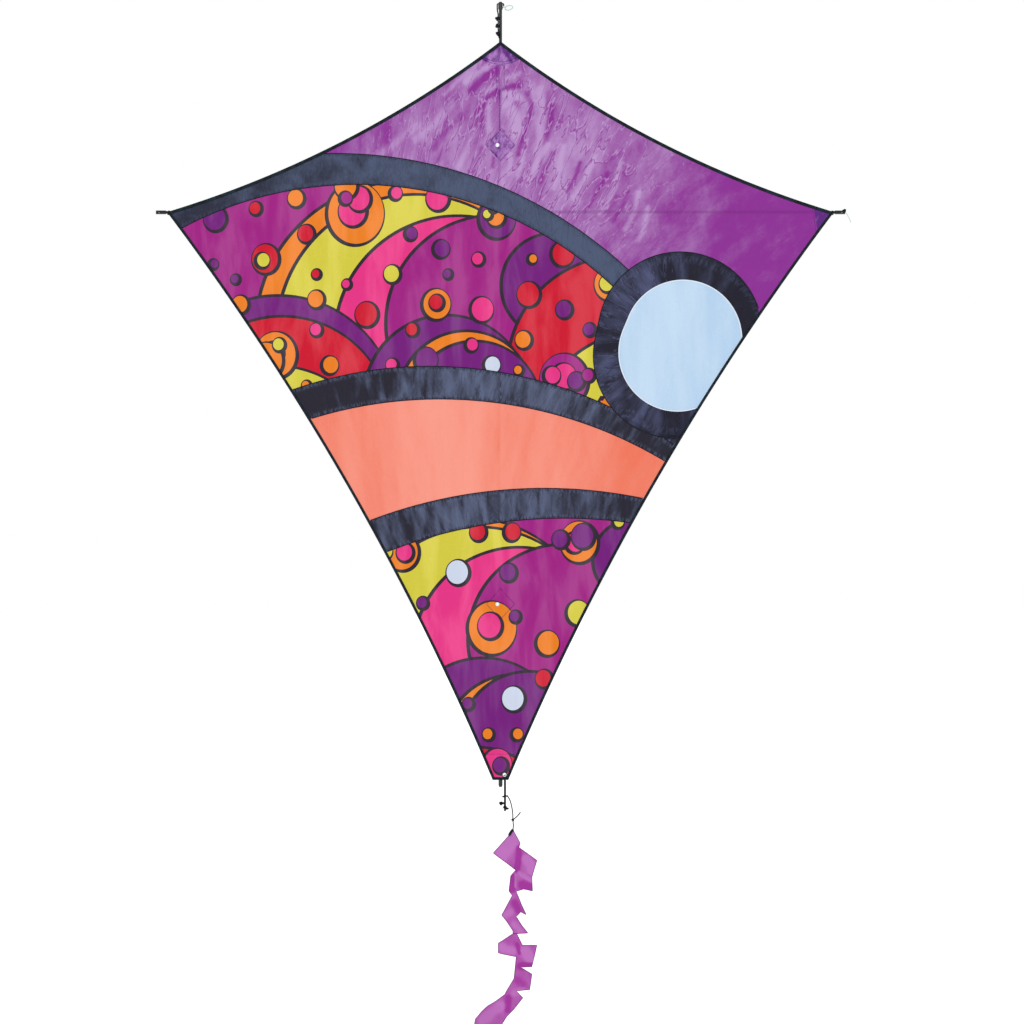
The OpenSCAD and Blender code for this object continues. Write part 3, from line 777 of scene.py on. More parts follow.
LIGHT_SLOPE = (0.75, 0.45)  # painted sheen: slopes that face right and up are painted pale
SHINE_GAIN = 2.2
STROKE_SHARE = 0.42


def cloth_shine(x, z):
    """How pale each place is painted, from 0 to 1: painted sheen and shade where the folds' slopes face
    LIGHT_SLOPE or away, plus the drawn creases' painted highlight and shade.
    """
    step = 1.5
    rise_x = (relief(x + step, z) - relief(x - step, z)) / (2 * step)
    rise_z = (relief(x, z + step) - relief(x, z - step)) / (2 * step)
    facing = -(rise_x * LIGHT_SLOPE[0] + rise_z * LIGHT_SLOPE[1])
    drawn = STROKE_SHARE * stroke_field(x, z, SHEEN_AND_SHADE_STROKES)
    return np.clip(0.5 + 0.5 * np.tanh(SHINE_GAIN * facing) + drawn, 0, 1)


# --- the print ---

# Fans and hills: fill, centre, radius. Later ones lie over earlier ones.
UPPER_FANS = [
    ("orange", (-170, -330), 268), ("yellow", (-150, -335), 250), ("pink", (-75, -345), 222),
    ("magenta", (-10, -318), 196), ("violet", (95, -250), 96), ("red", (215, -400), 205),
    ("yellow", (240, -505), 172), ("orange", (285, -540), 140), ("violet", (-395, -480), 215),
    ("red", (-388, -500), 198), ("yellow", (-400, -580), 190), ("orange", (-392, -630), 190),
    ("violet", (-95, -450), 150), ("orange", (-60, -452), 124), ("violet", (-44, -466), 120),
]
LOWER_FANS = [
    ("orange", (-60, -900), 240), ("yellow", (-38, -905), 228), ("pink", (34, -905), 192),
    ("magenta", (112, -880), 172), ("violet", (236, -738), 74), ("violet", (-30, -1060), 150),
    ("orange", (24, -1066), 126), ("violet", (52, -1062), 128), ("red", (-40, -1205), 136),
]
FAN_LINE = 5.2
FAN_SHADE = -1.2
UPPER_DOT_SIZES = (52, 44, 38, 33, 30, 27, 25, 24) + (20,) * 9 + (14,) * 12 + (10,) * 12 + (7,) * 10
LOWER_DOT_SIZES = (44, 34, 30, 26) + (20,) * 5 + (14,) * 6 + (9,) * 6
DOT_COLOURS = ("violet", "pink", "orange", "magenta", "yellow", "red", "violet", "orange", "pink", "white")
DOT_GAP = 9.0
DOT_TRIES = 14
DOT_LINE = 4.4
DOT_SHADE = (2.2, -1.6)
RINGED_FROM = 23  # dots at least this big hold a smaller one
PRINT_MARGIN = 2.0


def oval(centre, half_w, half_h):
    count = int(min(110, max(22, 2 * math.pi * max(half_w, half_h) / 3.0)))
    return np.array([(centre[0] + half_w * math.cos(a), centre[1] + half_h * math.sin(a))
                     for a in np.linspace(0, 2 * math.pi, count, endpoint=False)])


def some_way(chance):
    angle = chance.rand() * 2 * math.pi
    return np.array([math.cos(angle), math.sin(angle)])


def other_colour(chance, *taken):
    choices = [colour for colour in DOT_COLOURS if colour not in taken]
    return choices[chance.randint(len(choices))]


def scattered_dots(seed, fans, spots, sizes):
    """Dots dropped by chance on a panel, big ones first, each in the roomiest of a few places tried.
    Each fifth one leans on an earlier one."""
    chance = np.random.RandomState(seed)
    dots = []
    for index, size in enumerate(sizes):
        tries = spots[chance.randint(len(spots), size=DOT_TRIES)]
        room = [min([1e3] + [math.hypot(*(spot - place)) - radius for _, place, radius in dots])
                for spot in tries]
        centre = tries[int(np.argmax(room))]
        if max(room) < size + DOT_GAP:
            continue
        if index % 5 == 4:
            _, host, radius = dots[chance.randint(min(len(dots), 8))]
            centre = host + radius * some_way(chance)
        under = "magenta"
        for fill, middle, radius in fans:
            if math.hypot(centre[0] - middle[0], centre[1] - middle[1]) < radius:
                under = fill
        colour = other_colour(chance, under)
        dots.append((colour, centre, size))
        if size >= RINGED_FROM:
            inner = centre + 0.16 * size * some_way(chance)
            dots.append((other_colour(chance, colour, under, "white"), inner, 0.48 * size))
    return dots


def print_loops(fans, dots):
    """(fill, loop) pairs in painter's order: each shape's outline and then its fill."""
    out = []
    for fill, centre, radius in fans:
        out.append(("ink", oval((centre[0] + FAN_SHADE, centre[1]), radius, radius)))
        out.append((fill, oval(centre, radius - FAN_LINE, radius - FAN_LINE)))
    for index, (fill, centre, size) in enumerate(dots):
        lean = 1 if index % 3 else -1
        shade = (centre[0] + lean * DOT_SHADE[0], centre[1] + DOT_SHADE[1])
        out.append(("ink", oval(shade, size * 0.95 + DOT_LINE, size * 1.05 + DOT_LINE)))
        out.append((fill, oval(centre, size * 0.95, size * 1.05)))
    return out


def on_upper_print(points, margin=0.0):
    ring = stretched_circle(RING[0], RING[1] - margin, RING[2])
    return in_circle(points, grown(UPPER_LOW, margin)) & ~in_circle(points, grown(MIDDLE_TOP, -margin)) \
        & ~inside(points, ring)


def on_lower_print(points, margin=0.0):
    return in_circle(points, grown(LOWER_LOW, margin))


def runs(line, mask):
    """The stretches of a line where mask holds."""
    breaks = np.where(np.diff(np.asarray(mask, int)) != 0)[0] + 1
    parts = zip(np.split(line, breaks), np.split(mask, breaks))
    return [part for part, good in parts if good[0] and len(part) > 3]


dot_grid = square_grid((-590, -1120), (590, 0), 9.0)
dot_grid = dot_grid[edge_distance(*dot_grid.T) > 6]
PRINTS = {}
for panel_name, seed, fans, sizes, on_print in (
        ("upper_print", 5, UPPER_FANS, UPPER_DOT_SIZES, on_upper_print),
        ("lower_print", 8, LOWER_FANS, LOWER_DOT_SIZES, on_lower_print)):
    dots = scattered_dots(seed, fans, dot_grid[on_print(dot_grid)], sizes)
    PRINTS[panel_name] = (print_loops(fans, dots), on_print)

# --- one triangulation of the whole sail ---

NOSE_PATCH_CENTRE = (0, 200)
DIAMOND = np.array([(0, 29), (27, 0), (0, -29), (-27, 0)], float)
TIP_PATCH = [(555, -60), (555, -90), (566, -165), (566, -200), (640, -200), (640, -60)]
PATCHES = {
    "nose_patch": oval(NOSE_PATCH_CENTRE, 58, 58),
    "upper_bridle_patch": DIAMOND,
    "lower_bridle_patch": DIAMOND + np.array([0, -817.0]),
    "tip_patch_right": mirrored(TIP_PATCH, RIGHT),
    "tip_patch_left": mirrored(TIP_PATCH, LEFT),
    "tail_patch": np.array([(-60, -1082), (60, -1082), (60, -1140), (-60, -1140)], float),
}
PATCH_PUSH = 0.5  # patches lie this far behind the sail
GRID = 5.0
ROW = GRID * 0.866
disc_loop = stretched_circle(*DISC)
ring_loop = stretched_circle(*RING)
eyelet_loops = [oval(place, EYELET_CUT, EYELET_CUT) for place in EYELETS.values()]
cloth_half = half_outline(1.0)
cloth_outline = np.vstack([cloth_half, mirrored(cloth_half, LEFT)[::-1][1:-1]])
flat_points = []
flat_edges = []


def add_loop(loop, joined=True):
    first = len(flat_points)
    flat_points.extend(map(tuple, loop))
    count = len(loop)
    for k in range(count if joined else count - 1):
        flat_edges.append((first + k, first + (k + 1) % count))


add_loop(cloth_outline)
add_loop([(0, cloth_half[0][1]), (0, cloth_half[-1][1])], False)
for arc in SEAMS:
    add_loop(arc_line(arc, 640, 5.0), False)
for loop in (disc_loop, ring_loop, BAND_CORNER, *PATCHES.values(), *eyelet_loops):
    add_loop(loop)
for loops, on_print in PRINTS.values():
    for _, loop in loops:
        line = closed(loop)
        for run in runs(line, on_print(line, PRINT_MARGIN)):
            add_loop(run, False)

grid = []
for row in range(int(1330 / ROW)):
    xs = np.arange(-600 + 0.5 * GRID * (row % 2), 600, GRID)
    grid.append(np.stack([xs, np.full(len(xs), 190 - row * ROW)], 1))
grid = np.vstack(grid)
grid = grid[inside(grid, half_outline(4.0)) | inside(grid, mirrored(half_outline(4.0), LEFT))]
flat_points.extend(map(tuple, grid[np.abs(grid[:, 0]) > 1.2]))

solved = delaunay_2d_cdt([Vector(p) for p in flat_points], flat_edges, [], 0, 0.01)
flat = np.array([(v[0], v[1]) for v in solved[0]])
triangles = np.array(solved[2])
middles = flat[triangles].mean(1)
keep = inside(middles, cloth_outline)
for loop in eyelet_loops:
    keep &= ~inside(middles, loop)
triangles = triangles[keep]
middles = middles[keep]
a, b, c = flat[triangles[:, 0]], flat[triangles[:, 1]], flat[triangles[:, 2]]
areas = 0.5 * ((b[:, 0] - a[:, 0]) * (c[:, 1] - a[:, 1]) - (b[:, 1] - a[:, 1]) * (c[:, 0] - a[:, 0]))
triangles[areas < 0] = triangles[areas < 0][:, ::-1]
areas = np.abs(areas)

# Each panel's cloths, its slot, and the arc its UV map turns about
prints = ([print_cloths[key] for key in PRINT_COLOURS], "printed_cloth", None)
PANEL_CLOTHS = {
    "purple_panel": ([purple_cloth, purple_double], "purple_nylon", UPPER_TOP),
    "upper_band": ([smooth_black_cloth], "black_nylon", None),
    "upper_print": prints,
    "middle_band": ([black_cloth], "black_nylon", MIDDLE_TOP),
    "orange_panel": ([orange_cloth], "orange_nylon", MIDDLE_LOW),
    "lower_band": ([black_cloth], "black_nylon", LOWER_TOP),
    "lower_print": prints,
    "disc": ([disc_cloth], "pale_blue_nylon", None),
    "disc_ring": ([ring_cloth], "black_nylon", (*DISC[0], 125)),
}
PANELS = list(PANEL_CLOTHS)
panel = np.zeros(len(middles), int)
for index, arc in enumerate(SEAMS, 1):
    panel[in_circle(middles, arc)] = index
    if arc is MIDDLE_TOP:
        panel[inside(middles, BAND_CORNER)] = index
panel[inside(middles, ring_loop)] = PANELS.index("disc_ring")
panel[inside(middles, disc_loop)] = PANELS.index("disc")

ink_names = list(PRINT_COLOURS)
tint = np.full(len(middles), ink_names.index("magenta"))
for panel_name, (loops, _) in PRINTS.items():
    members = np.where(panel == PANELS.index(panel_name))[0]
    for fill, loop in loops:
        tint[members[inside(middles[members], loop)]] = ink_names.index(fill)
doubled = np.any([inside(middles, loop) for loop in PATCHES.values()], axis=0)

heights = sail_y(*flat.T)
shine = cloth_shine(*flat.T)


def arc_gap(arc):
    return np.abs(about(*flat.T, arc)[1] - arc[2])


seam_gap = np.min([arc_gap(arc) for arc in SEAMS], axis=0)
in_the_ring = inside(flat, stretched_circle(RING[0], RING[1] + 0.5, RING[2]))
seam_gap = np.where(in_the_ring, arc_gap((*RING[0], RING[1] + 8)), seam_gap)


def cut_piece(name, chosen, materials, face_materials, arc=None, push=0.0):
    """One cloth piece from the triangles chosen; push moves it back from the sail, in millimetres."""
    used, remapped = np.unique(triangles[chosen], return_inverse=True)
    places = flat[used]
    points = np.stack([places[:, 0], heights[used] + push, places[:, 1]], 1)
    uvs = np.stack(about(*places.T, arc), 1) if arc else places
    piece = make_mesh(name, points, remapped.reshape(-1, 3), materials, uvs, face_materials)
    set_values(piece, "seam_gap", seam_gap[used] * MM)
    set_values(piece, "shine", shine[used])
    return piece


def cut_by_side(name, covered, materials, tints, arc=None, push=0.0):
    """Cut a panel or a patch on each side of the spine where it has cloth."""
    whole = name.startswith(("disc", "tip"))
    for side_name, sign in SIDES.items():
        chosen = np.where(covered & (middles[:, 0] * sign > 0))[0]
        if len(chosen) == 0:
            continue
        node_name = name if whole else f"{name}_{side_name}"
        piece = cut_piece(node_name + "_cloth", chosen, materials, tints[chosen], arc, push)
        settle(piece, "wing_right" if name.startswith("disc") else side_name, node_name)


plain = np.zeros(len(middles), int)
face_tints = {"upper_print": tint, "lower_print": tint, "purple_panel": doubled}
for index, (name, (materials, slot_name, arc)) in enumerate(PANEL_CLOTHS.items()):
    cut_by_side(name, panel == index, materials, face_tints.get(name, plain), arc)
for name, loop in PATCHES.items():
    backing = purple_double if name.startswith(("nose", "upper", "tip")) else print_cloths["violet"]
    cut_by_side(name, inside(middles, loop), [backing], plain, push=PATCH_PUSH)

# --- bindings ---

TAPE_SIDES = 12
BINDING_THICK = 2.0


def swept_tape(builder, line, width, thick, sign):
    """A flat rounded tape along a line on the sail. With sign 1 its width lies to the right of the line."""
    line = np.asarray(line, float)
    way = directions(line)
    inward = np.stack([way[:, 1], -way[:, 0]], 1) * sign
    profile = []
    for k in range(TAPE_SIDES):
        angle = 2 * math.pi * k / TAPE_SIDES
        u = math.copysign(abs(math.cos(angle)) ** 0.55, math.cos(angle))
        v = math.copysign(abs(math.sin(angle)) ** 0.75, math.sin(angle))
        profile.append(((0.5 + 0.5 * u) * width, 0.5 * v * thick))
    middle = line + inward * width / 2
    points = []
    uvs = []
    for spot, into, y, far in zip(line, inward, sail_y(*middle.T), travelled(line)):
        for index, (across, out) in enumerate(profile):
            place = spot + into * across
            points.append((place[0], y + out, place[1]))
            uvs.append((far, index * width / 6))
    faces = [face[:1] + face[:0:-1] for face in ring_faces(len(line), TAPE_SIDES)]
    last = (len(line) - 1) * TAPE_SIDES
    ends = [list(range(TAPE_SIDES)), [last + q for q in range(TAPE_SIDES)][::-1]]
    builder.put(points, faces + ends, uvs)


for side_name, sign in SIDES.items():
    edges = {
        "leading_binding": (edge_arc(LEADING, 150), LEAD_BIND),
        "trailing_binding": (edge_arc(TRAILING, 230), TRAIL_BIND),
        "bottom_binding": ([(14.0, -1130.0), (9, -1130), (4, -1130), (0, -1130)], TRAIL_BIND),
    }
    for edge_name, (line, width) in edges.items():
        builder = Builder()
        swept_tape(builder, mirrored(line, sign), width, BINDING_THICK, sign)
        piece = builder.make(f"{edge_name}_{side_name}_tape", binding_tape)
        if edge_name != "trailing_binding":
            for vertex in piece.data.vertices:
                if vertex.co.x * sign < 0:
                    vertex.co.x = 0
        settle(piece, side_name, f"{edge_name}_{side_name}")

# --- seams and stitching ---

SEAM_FOLD = (1.7, 1.3)  # width and thickness of a seam's folded edge
PITCH = 3.4
PATCH_PITCH = 2.8
PATCH_STITCH = (2.6, 1.5)  # length and width
THIN_STITCH = (2.5, 1.0)
SLEEVE_HALF = 6.5
SLEEVE_HIGH = 142.0
SLEEVE_LOW = 98.0
# A stitch: shares of its length, width and height at each corner
BEAD = ((-0.5, 0, 0), (0.5, 0, 0), (0, 0.5, 0), (0, 0, -1), (0, -0.5, 0), (0, 0, 1))
BEAD_FACES = [(0, 2, 3), (0, 3, 4), (0, 4, 5), (0, 5, 2), (1, 3, 2), (1, 4, 3), (1, 5, 4), (1, 2, 5)]


def seam_runs(line, side, allow_ring=False, margin=5.0):
    """The stretches of a seam that lie on one side of the sail, clear of its bindings and its ring."""
    line = np.asarray(line, float)
    good = (line[:, 0] * side > -0.01) & (edge_distance(*line.T) > margin)
    if not allow_ring:
        good &= ~inside(line, ring_loop)
    return runs(line, good)


def stitches(builder, line, pitch, length, width, slant=0.0, high=0.4):
    """Stitches through the cloth along a line: small tapered beads that show on both faces."""
    places = resample(line, pitch)
    if len(places) < 3:
        return
    way = directions(places)
    along = np.stack(turned(*way.T, slant), 1)
    across = np.stack([-along[:, 1], along[:, 0]], 1)
    for place, a, c, y in zip(places, along, across, sail_y(*places.T)):
        spots = [place + a * u * length + c * v * width for u, v, _ in BEAD]
        points = [(spot[0], y + out * high, spot[1]) for spot, (_, _, out) in zip(spots, BEAD)]
        builder.put(points, BEAD_FACES, spots)


def span(arc):
    """A seam as far as the sail reaches, with a point where it crosses the spine."""
    line = arc_line(arc, 600, 3.0)
    at_fold = np.where(np.diff(np.sign(line[:, 0])) != 0)[0]
    for k in at_fold[::-1]:
        t = line[k, 0] / (line[k, 0] - line[k + 1, 0])
        line = np.insert(line, k + 1, [0.0, line[k, 1] + t * (line[k + 1, 1] - line[k, 1])], axis=0)
    return line


for side_name, sign in SIDES.items():
    folds = Builder()
    threads = Builder()
    patch_threads = Builder()
    for index, (arc, into_band) in enumerate(zip(SEAMS, (-1, 1) * 3)):
        for run in seam_runs(span(arc), sign):
            swept_tape(folds, run - np.array([0.0, 0.8]), *SEAM_FOLD, -1)
        long_stitch, slant = (3.6, 0.9) if index >= 2 else (2.3, 0.0)
        for run in seam_runs(span(grown(arc, into_band * 2.6)), sign, margin=8):
            stitches(threads, run, PITCH, long_stitch, 1.2, slant)
    if sign == RIGHT:
        for run in seam_runs(closed(ring_loop), sign, True):
            swept_tape(folds, run, *SEAM_FOLD, 1)
        for inset in (2.8, 6.0):
            line = closed(stretched_circle(RING[0], RING[1] - inset, RING[2], 220))
            for run in seam_runs(line, sign, True, 8):
                stitches(threads, run, PITCH, 2.4, 0.8)
    for inset, edge in ((LEAD_BIND - 1.5, LEADING), (TRAIL_BIND - 1.3, TRAILING)):
        line = edge_arc(edge, 200, inset)
        line = line[(np.hypot(line[:, 0] - TIP[0], line[:, 1] - TIP[1]) > 14) & (line[:, 0] > 3)]
        stitches(threads, mirrored(line, sign), PITCH, 2.2, 0.6, 0.0, 1.12)
    # Rows round the patches and the sleeve: line, stitch length, stitch width
    rows = []
    for size in (56, 52):
        arcs = seam_runs(closed(oval(NOSE_PATCH_CENTRE, size, size)), sign)
        rows.extend((run, *PATCH_STITCH) for run in arcs)
    for level in (0.0, -817.0):
        corners = [(0, level + 27), (25 * sign, level), (0, level - 27)]
        rows.append((resample(corners, 2.0), *PATCH_STITCH))
    sleeve_x = SLEEVE_HALF * sign
    rows.append(([(sleeve_x, SLEEVE_HIGH), (sleeve_x, SLEEVE_LOW)], *PATCH_STITCH))
    for level in (SLEEVE_HIGH, SLEEVE_LOW):
        rows.append(([(sleeve_x, level), (0.3 * sign, level)], *THIN_STITCH))
    if sign == LEFT:
        rows.append(([(1.0 * sign, SLEEVE_LOW - 2), (1.2 * sign, 28)], 2.8, 2.4))
    for row in ([(553 * sign, -96), (563 * sign, -163)], [(0.5 * sign, -1084), (34 * sign, -1084)]):
        rows.extend((run, *THIN_STITCH) for run in seam_runs(resample(row, 1.0), sign))
    for line, length, width in rows:
        stitches(patch_threads, line, PATCH_PITCH, length, width)
    for builder, label, cloth, slot_name in (
            (folds, "seam_folds", seam_shade_tape, "black_nylon"),
            (threads, "stitching", dark_thread, "black_nylon"),
            (patch_threads, "patch_stitching", purple_thread, "patch_cloth")):
        settle(builder.make(f"{label}_{side_name}", cloth), side_name)

hem = Builder()
for run in seam_runs(closed(stretched_circle(DISC[0], DISC[1] + 0.4, DISC[2], 200)), RIGHT, True):
    swept_tape(hem, run, 2.2, 1.5, -1)
settle(hem.make("disc_hem", disc_hem_cloth), "wing_right")

# --- eyelets ---

EYELET_PROFILE = [(2.0, -6.6), (2.1, -6.95), (2.45, -7.25), (2.95, -7.3), (3.4, -7.1), (3.6, -6.75),
                  (3.5, -6.5), (2.72, -6.45), (2.72, -5.6), (3.3, -5.5), (3.4, -5.2), (3.1, -4.92),
                  (2.6, -4.85), (2.15, -5.1), (2.0, -5.5)]
WASHER_PROFILE = [(3.3, -6.95), (4.6, -6.95), (4.9, -6.6), (4.6, -6.3), (3.3, -6.3)]


def lathe(name, profile, centre, material, segments=36):
    """A closed ring about an axis along Y; profile is (radius, y) pairs."""
    points = []
    uvs = []
    for k in range(segments):
        angle = 2 * math.pi * k / segments
        for index, (radius, y) in enumerate(profile):
            points.append((centre[0] + radius * math.cos(angle), y, centre[1] + radius * math.sin(angle)))
            uvs.append((angle * 3, index))
    return make_mesh(name, points, ring_faces(segments, len(profile), True), [material], uvs)


for eyelet_name, centre in EYELETS.items():
    front = float(sail_y(np.array([centre[0] + 4.0]), np.array([centre[1]]))[0]) - CLOTH_Y
    profile = [(r, y + front) for r, y in EYELET_PROFILE]
    settle(lathe(eyelet_name + "_ring", profile, centre, eyelet_plastic),
           "right" if centre[0] > 0 else "left", eyelet_name)
settle(lathe("tail_eyelet_washer", WASHER_PROFILE, EYELETS["tail_eyelet"], vinyl), "right")

# --- sleeve and pocket on the spine ---

CHANNEL_SIDE = [(9.5, -5.25), (7.5, -5.2), (5.6, -4.7), (4.5, -3.2), (4.25, -0.8), (4.0, 1.4), (3.0, 3.2),
                (1.5, 4.0)]
CHANNEL = [(-x, y) for x, y in CHANNEL_SIDE] + [(0, 4.2)] + CHANNEL_SIDE[::-1]


def channel(name, low, high, narrow_below, material):
    """Cloth folded round the spine from behind and sewn to the sail on both sides of it."""
    levels = np.linspace(low, high, int((high - low) / 2.5) + 1)
    points = []
    uvs = []
    for z in levels:
        ripple = 0.15 * math.sin(z * 0.9) + 0.1 * math.sin(z * 2.3 + 1)
        for x, y in CHANNEL:
            wide = max(-3.4, min(3.4, x)) if z < narrow_below and y < -4 else x
            push = ripple if y > -4 else 0
            points.append((wide * (1 + 0.02 * push), y + (push if y > 0 else 0) * 0.3, z))
            uvs.append((x, z))
    count = len(CHANNEL)
    faces = [face for face in ring_faces(len(levels), count) if face[1] % count]
    return make_mesh(name, points, faces, [material], uvs)


sleeve = channel("nose_sleeve_cloth", 98, 155, 0, purple_double)
pocket = channel("tail_pocket_cloth", -1122, -1080, -1114, binding_tape)
settle(sleeve, "root", "nose_sleeve")
settle(pocket, "root", "tail_pocket")

# --- lines at the nose and the tips ---

NOSE_LINE_R = 1.2
NOSE_LINE = [(-2, -5, 190), (-3.4, -4.4, 196), (-4.0, -3, 204), (-4.1, -2.4, 214), (-4.1, -2, 224),
             (-4.2, -1, 234), (-5.6, 0, 242), (-5.8, 0, 248), (-5.6, 0, 251.6), (-4.2, 0, 253.2),
             (0, 0, 253.6), (4.2, 0, 253.2), (5.6, 0, 251.6), (5.8, 0, 248.5)]
TIP_LINE = [(595, -6.4, -119), (600, -6.3, -119), (606, -5.9, -119), (611, -4.4, -119),
            (613.4, -1.5, -119), (609.6, -1.5, -119)]
TAG_LINE = [(616, -1.5, -120), (619, -1.5, -125), (622, -1.5, -131), (624, -1.5, -137)]
builder = Builder()
strand(builder, NOSE_LINE, 1.5, NOSE_LINE_R)
for place, turn in (((-5.6, -2.8, 226), 0.2), ((-5.4, -2.8, 213), 1.3), ((-4.6, -4.4, 199), 2.2)):
    overhand_knot(builder, place, 4.4, 1.7, turn, 0.3)
settle(builder.make("nose_line", black_cord), "root", "nose_tension_line")

builder = Builder()
loop_route = [(15 + 6.8 * math.cos(a), 0.8 * math.sin(2 * a), 245.8 + 4.2 * math.sin(a + 0.25))
              for a in np.linspace(0, 2 * math.pi, 41)]
tube_mesh(builder, loop_route, 0.9, 8, False)
strand(builder, [(4.0, 0, 246.6), (6, 0.6, 247), (8.6, 0, 245.9)], 1.0, 0.9, 8)
settle(builder.make("nock_loop_line", pale_line), "root", "nock_loop")

for side_name, sign in SIDES.items():
    builder = Builder()
    strand(builder, np.array(TIP_LINE) * (sign, 1, 1), 1.2, 1.0, 8)
    overhand_knot(builder, (590.5 * sign, -6.6, -119.6), 3.4, 1.3, 0.5)
    if sign == RIGHT:
        overhand_knot(builder, (612.5, -2.5, -116.5), 4.0, 1.3, 0.5)
    piece = builder.make(f"tip_line_{side_name}_cord", black_cord)
    settle(piece, "wing_" + side_name, f"tip_line_{side_name}")
builder = Builder()
strand(builder, TAG_LINE, 1.2, 0.7, 8)
settle(builder.make("tip_tag_line", pale_line), "wing_right", "tip_tag_right")

# --- tail ribbon ---

RIBBON_UPPER = [(23, -1221), (35, -1243), (33, -1251), (65, -1274), (56, -1304), (57, -1328), (41, -1325),
                (28, -1329), (37, -1352), (46, -1371), (36, -1366), (28, -1374), (38, -1390), (49, -1404),
                (29, -1405), (22, -1405), (22, -1400), (12, -1385), (2, -1372), (21, -1337), (15, -1329),
                (18, -1302), (27, -1292), (-13, -1261)]
RIBBON_MIDDLE = [(22, -1405), (29, -1405), (39, -1425), (65, -1426), (56, -1465), (36, -1466), (56, -1477),
                 (52, -1505), (28, -1508), (40, -1520), (12, -1552), (-8, -1584), (-26, -1584), (-10, -1596),
                 (-4, -1622), (-20, -1640), (-30, -1640), (-54, -1610), (-45, -1557), (-22, -1533),
                 (7, -1514), (24, -1485), (28, -1447), (-4, -1440), (-4, -1422)]
RIBBON_LOWER = [(-30, -1640), (-20, -1640), (6, -1668), (-16, -1676), (8, -1698), (2, -1728), (-22, -1736),
                (12, -1758), (10, -1790), (-14, -1798), (14, -1822), (-34, -1834), (-38, -1800),
                (-14, -1790), (-40, -1770), (-42, -1738), (-18, -1728), (-44, -1708), (-46, -1676)]
TAIL_Y = 1.5
# Facets of the ribbon: x and z of their points, half width, and pale (over 0) or deep, which both folds the
# facet and paints its highlight or shade
TAIL_STROKES = [
    (2, -1262, 10, -1250, 20, -1236, 14, 0.8), (33, -1252, 32, -1274, 29, -1294, 5, -0.8),
    (46, -1272, 54, -1282, 56, -1292, 8, 0.8), (32, -1296, 44, -1303, 56, -1310, 3, 1),
    (40, -1318, 50, -1322, 8, -0.8), (22, -1304, 20, -1326, 6, -0.9), (27, -1298, 26, -1320, 2, 0.9),
    (25, -1350, 32, -1362, 7, -0.5), (8, -1372, 18, -1366, 7, 0.4), (24, -1388, 36, -1402, 6, 0.4),
    (2, -1430, 14, -1434, 22, -1436, 8, 0.6), (30, -1424, 34, -1440, 3, -0.9),
    (44, -1436, 52, -1450, 9, 0.8), (36, -1464, 54, -1462, 6, -0.8), (30, -1488, 40, -1496, 8, -0.4),
    (24, -1512, 40, -1506, 6, 0.4), (14, -1520, 12, -1540, 6, -0.6),
    (-30, -1560, -12, -1544, 2, -1534, 9, 0.6), (-34, -1590, -44, -1604, 8, -0.6),
    (-16, -1612, -22, -1628, 6, 0.6), (-20, -1664, -8, -1658, 8, 0.6), (-28, -1700, -16, -1712, 8, -0.6),
    (-30, -1752, -12, -1750, 8, 0.6), (-20, -1776, 0, -1784, 8, -0.5), (-20, -1812, 0, -1818, 8, 0.5),
]
# Each piece's outline, its flat levels, the body above its neck, its own body, and the neck's x
RIBBONS = {
    "tail_strip_upper": (RIBBON_UPPER, (-1221, -1405), None, "tail_upper", 0),
    "tail_strip_middle": (RIBBON_MIDDLE, (-1405, -1640), "tail_upper", "tail_middle", 25),
    "tail_strip_lower": (RIBBON_LOWER, (-1640,), "tail_middle", "tail_lower", -25),
}
RIBBON_GRID = 3.0


def ribbon_y(x, z):
    """The ribbon's folds: each leaf between two slits leans its own way."""
    lean = value_noise(lattice(51), z / 31.0, x / 90.0 + 3)
    crease = np.abs(((z * 0.036 + x * 0.012) % 2) - 1) - 0.5
    curl = value_noise(lattice(53), x / 24.0, z / 26.0)
    out = 7.0 * lean * np.clip((x - 12) / 30, -1, 1) + 5.5 * crease + 2.2 * curl
    return out - 1.5 * stroke_field(x, z, TAIL_STROKES)


def ribbon_place(places, hold):
    """Places on the flat ribbon as points of the folded one; it is flat at each level in hold."""
    y = ribbon_y(*places.T)
    for level in hold:
        y = y * away(places[:, 1] - level, 9.0)
    return np.stack([places[:, 0], TAIL_Y + y, places[:, 1]], 1)


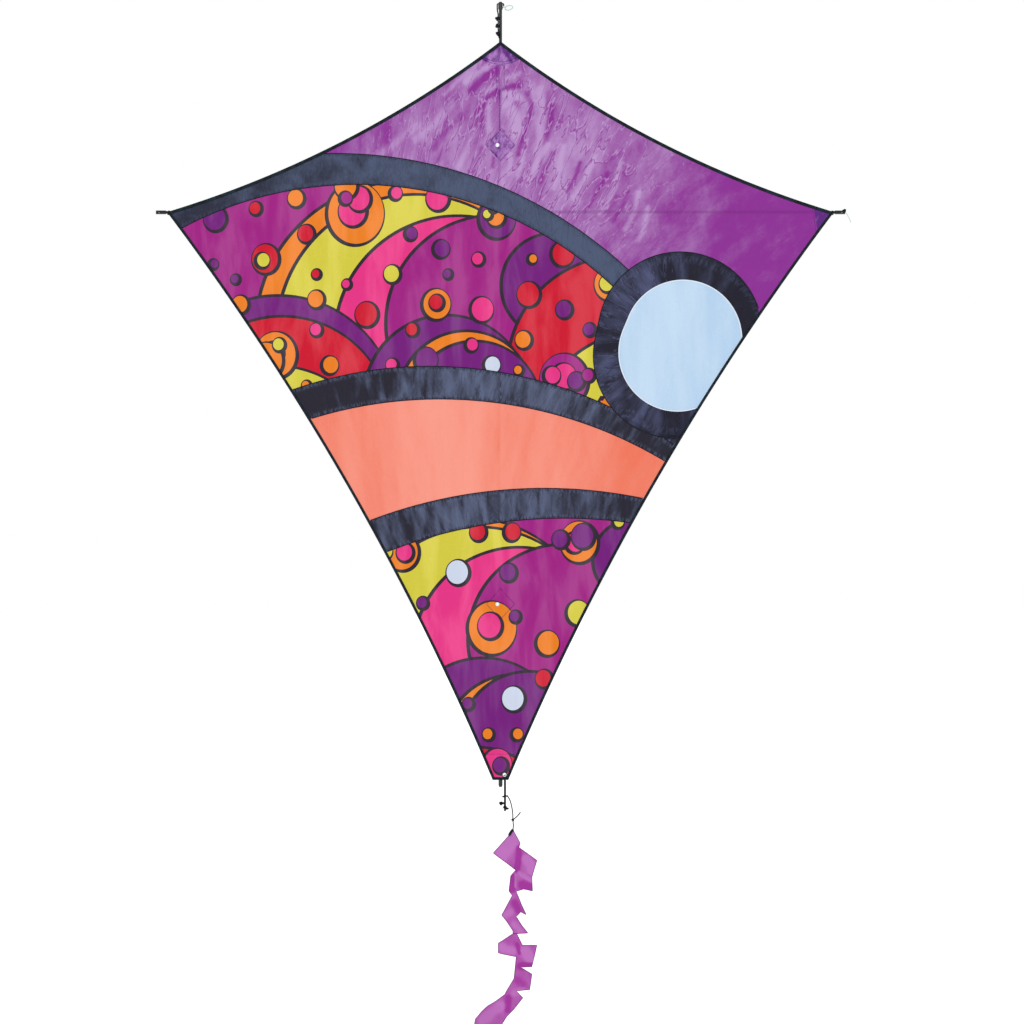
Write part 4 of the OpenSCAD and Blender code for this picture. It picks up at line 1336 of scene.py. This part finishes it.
def ribbon_piece(name, outline, hold):
    corners = closed(np.array(outline, float))
    loop = np.vstack([resample(corners[k:k + 2], RIBBON_GRID)[:-1] for k in range(len(corners) - 1)])
    rim = [(k, (k + 1) % len(loop)) for k in range(len(loop))]
    inner = square_grid(loop.min(0), loop.max(0), RIBBON_GRID)
    inner = inner[inside(inner, loop)]
    far = np.array([np.min(np.hypot(*(loop - p).T)) for p in inner])
    spots = [Vector(p) for p in (*map(tuple, loop), *map(tuple, inner[far > 1.3]))]
    made = delaunay_2d_cdt(spots, rim, [], 0, 0.01)
    places = np.array([(v[0], v[1]) for v in made[0]])
    faces = np.array(made[2])
    faces = faces[inside(places[faces].mean(1), loop)]
    piece = make_mesh(name, ribbon_place(places, hold), faces, [tail_cloth], places)
    # The facets' painted highlight and shade, read by the cloth as shine
    pale = 0.5 + 0.5 * stroke_field(*places.T, TAIL_STROKES)
    set_values(piece, "shine", np.clip(pale, 0, 1))
    edge = Builder()
    tube_mesh(edge, ribbon_place(closed(loop), hold), 0.55, 5, False)
    return piece, edge.make(name + "_edge", tail_edge_shade_cloth)


for node_name, (shape, hold, above, body, neck_x) in RIBBONS.items():
    ribbon, edge = ribbon_piece(node_name.replace("tail_strip", "ribbon"), shape, hold)
    for piece in (ribbon, edge):
        if above is None:
            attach(piece, body)
        else:
            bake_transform(piece)
    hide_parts(node_name)

# --- rods and fittings keep their CAD shapes ---

FINISHES = {
    rod_material: ("spine_upper", "spine_lower", "spreader_left", "spreader_right"),
    ferrule_metal: ("spine_ferrule",),
    black_plastic: ("nose_nock", "spine_end_cap", "centre_fitting", "tip_nock_left", "tip_nock_right"),
    vinyl: ("socket_left", "socket_right"),
}
for material, names in FINISHES.items():
    for node_name in names:
        for slot in nodes[node_name].material_slots:
            slot.material = material

# --- stage and light ---

FLOOR_Z = -2.1
KEY_PLACE = Vector((-0.6, -3.9, 0.95))
KEY_TARGET = Vector((0.05, 0, -0.3))
floor_data = bpy.data.meshes.new("floor")
floor_data.from_pydata([(x, y, FLOOR_Z) for x, y in ((-30, -30), (30, -30), (30, 30), (-30, 30))],
                       [], [(0, 1, 2, 3)])
floor = new_object("floor", floor_data)
studio = Shader("floor")
studio.fill(studio.surface, {"Base Color": (0.9, 0.9, 0.9, 1), "Roughness": 0.9, "Specular IOR Level": 0.1,
                             "Emission Color": WHITE, "Emission Strength": 0.35})
floor_data.materials.append(studio.material)

world = bpy.data.worlds.new("studio")
scene.world = world
world.use_nodes = True
world.node_tree.nodes["Background"].inputs["Color"].default_value = WHITE

key_data = bpy.data.lights.new("key", "AREA")
key_data.shape = "DISK"
key_data.size = 1.2
key_data.energy = 24
key = new_object("key", key_data)
key.location = KEY_PLACE
key.rotation_euler = (KEY_TARGET - KEY_PLACE).to_track_quat("-Z", "Y").to_euler()
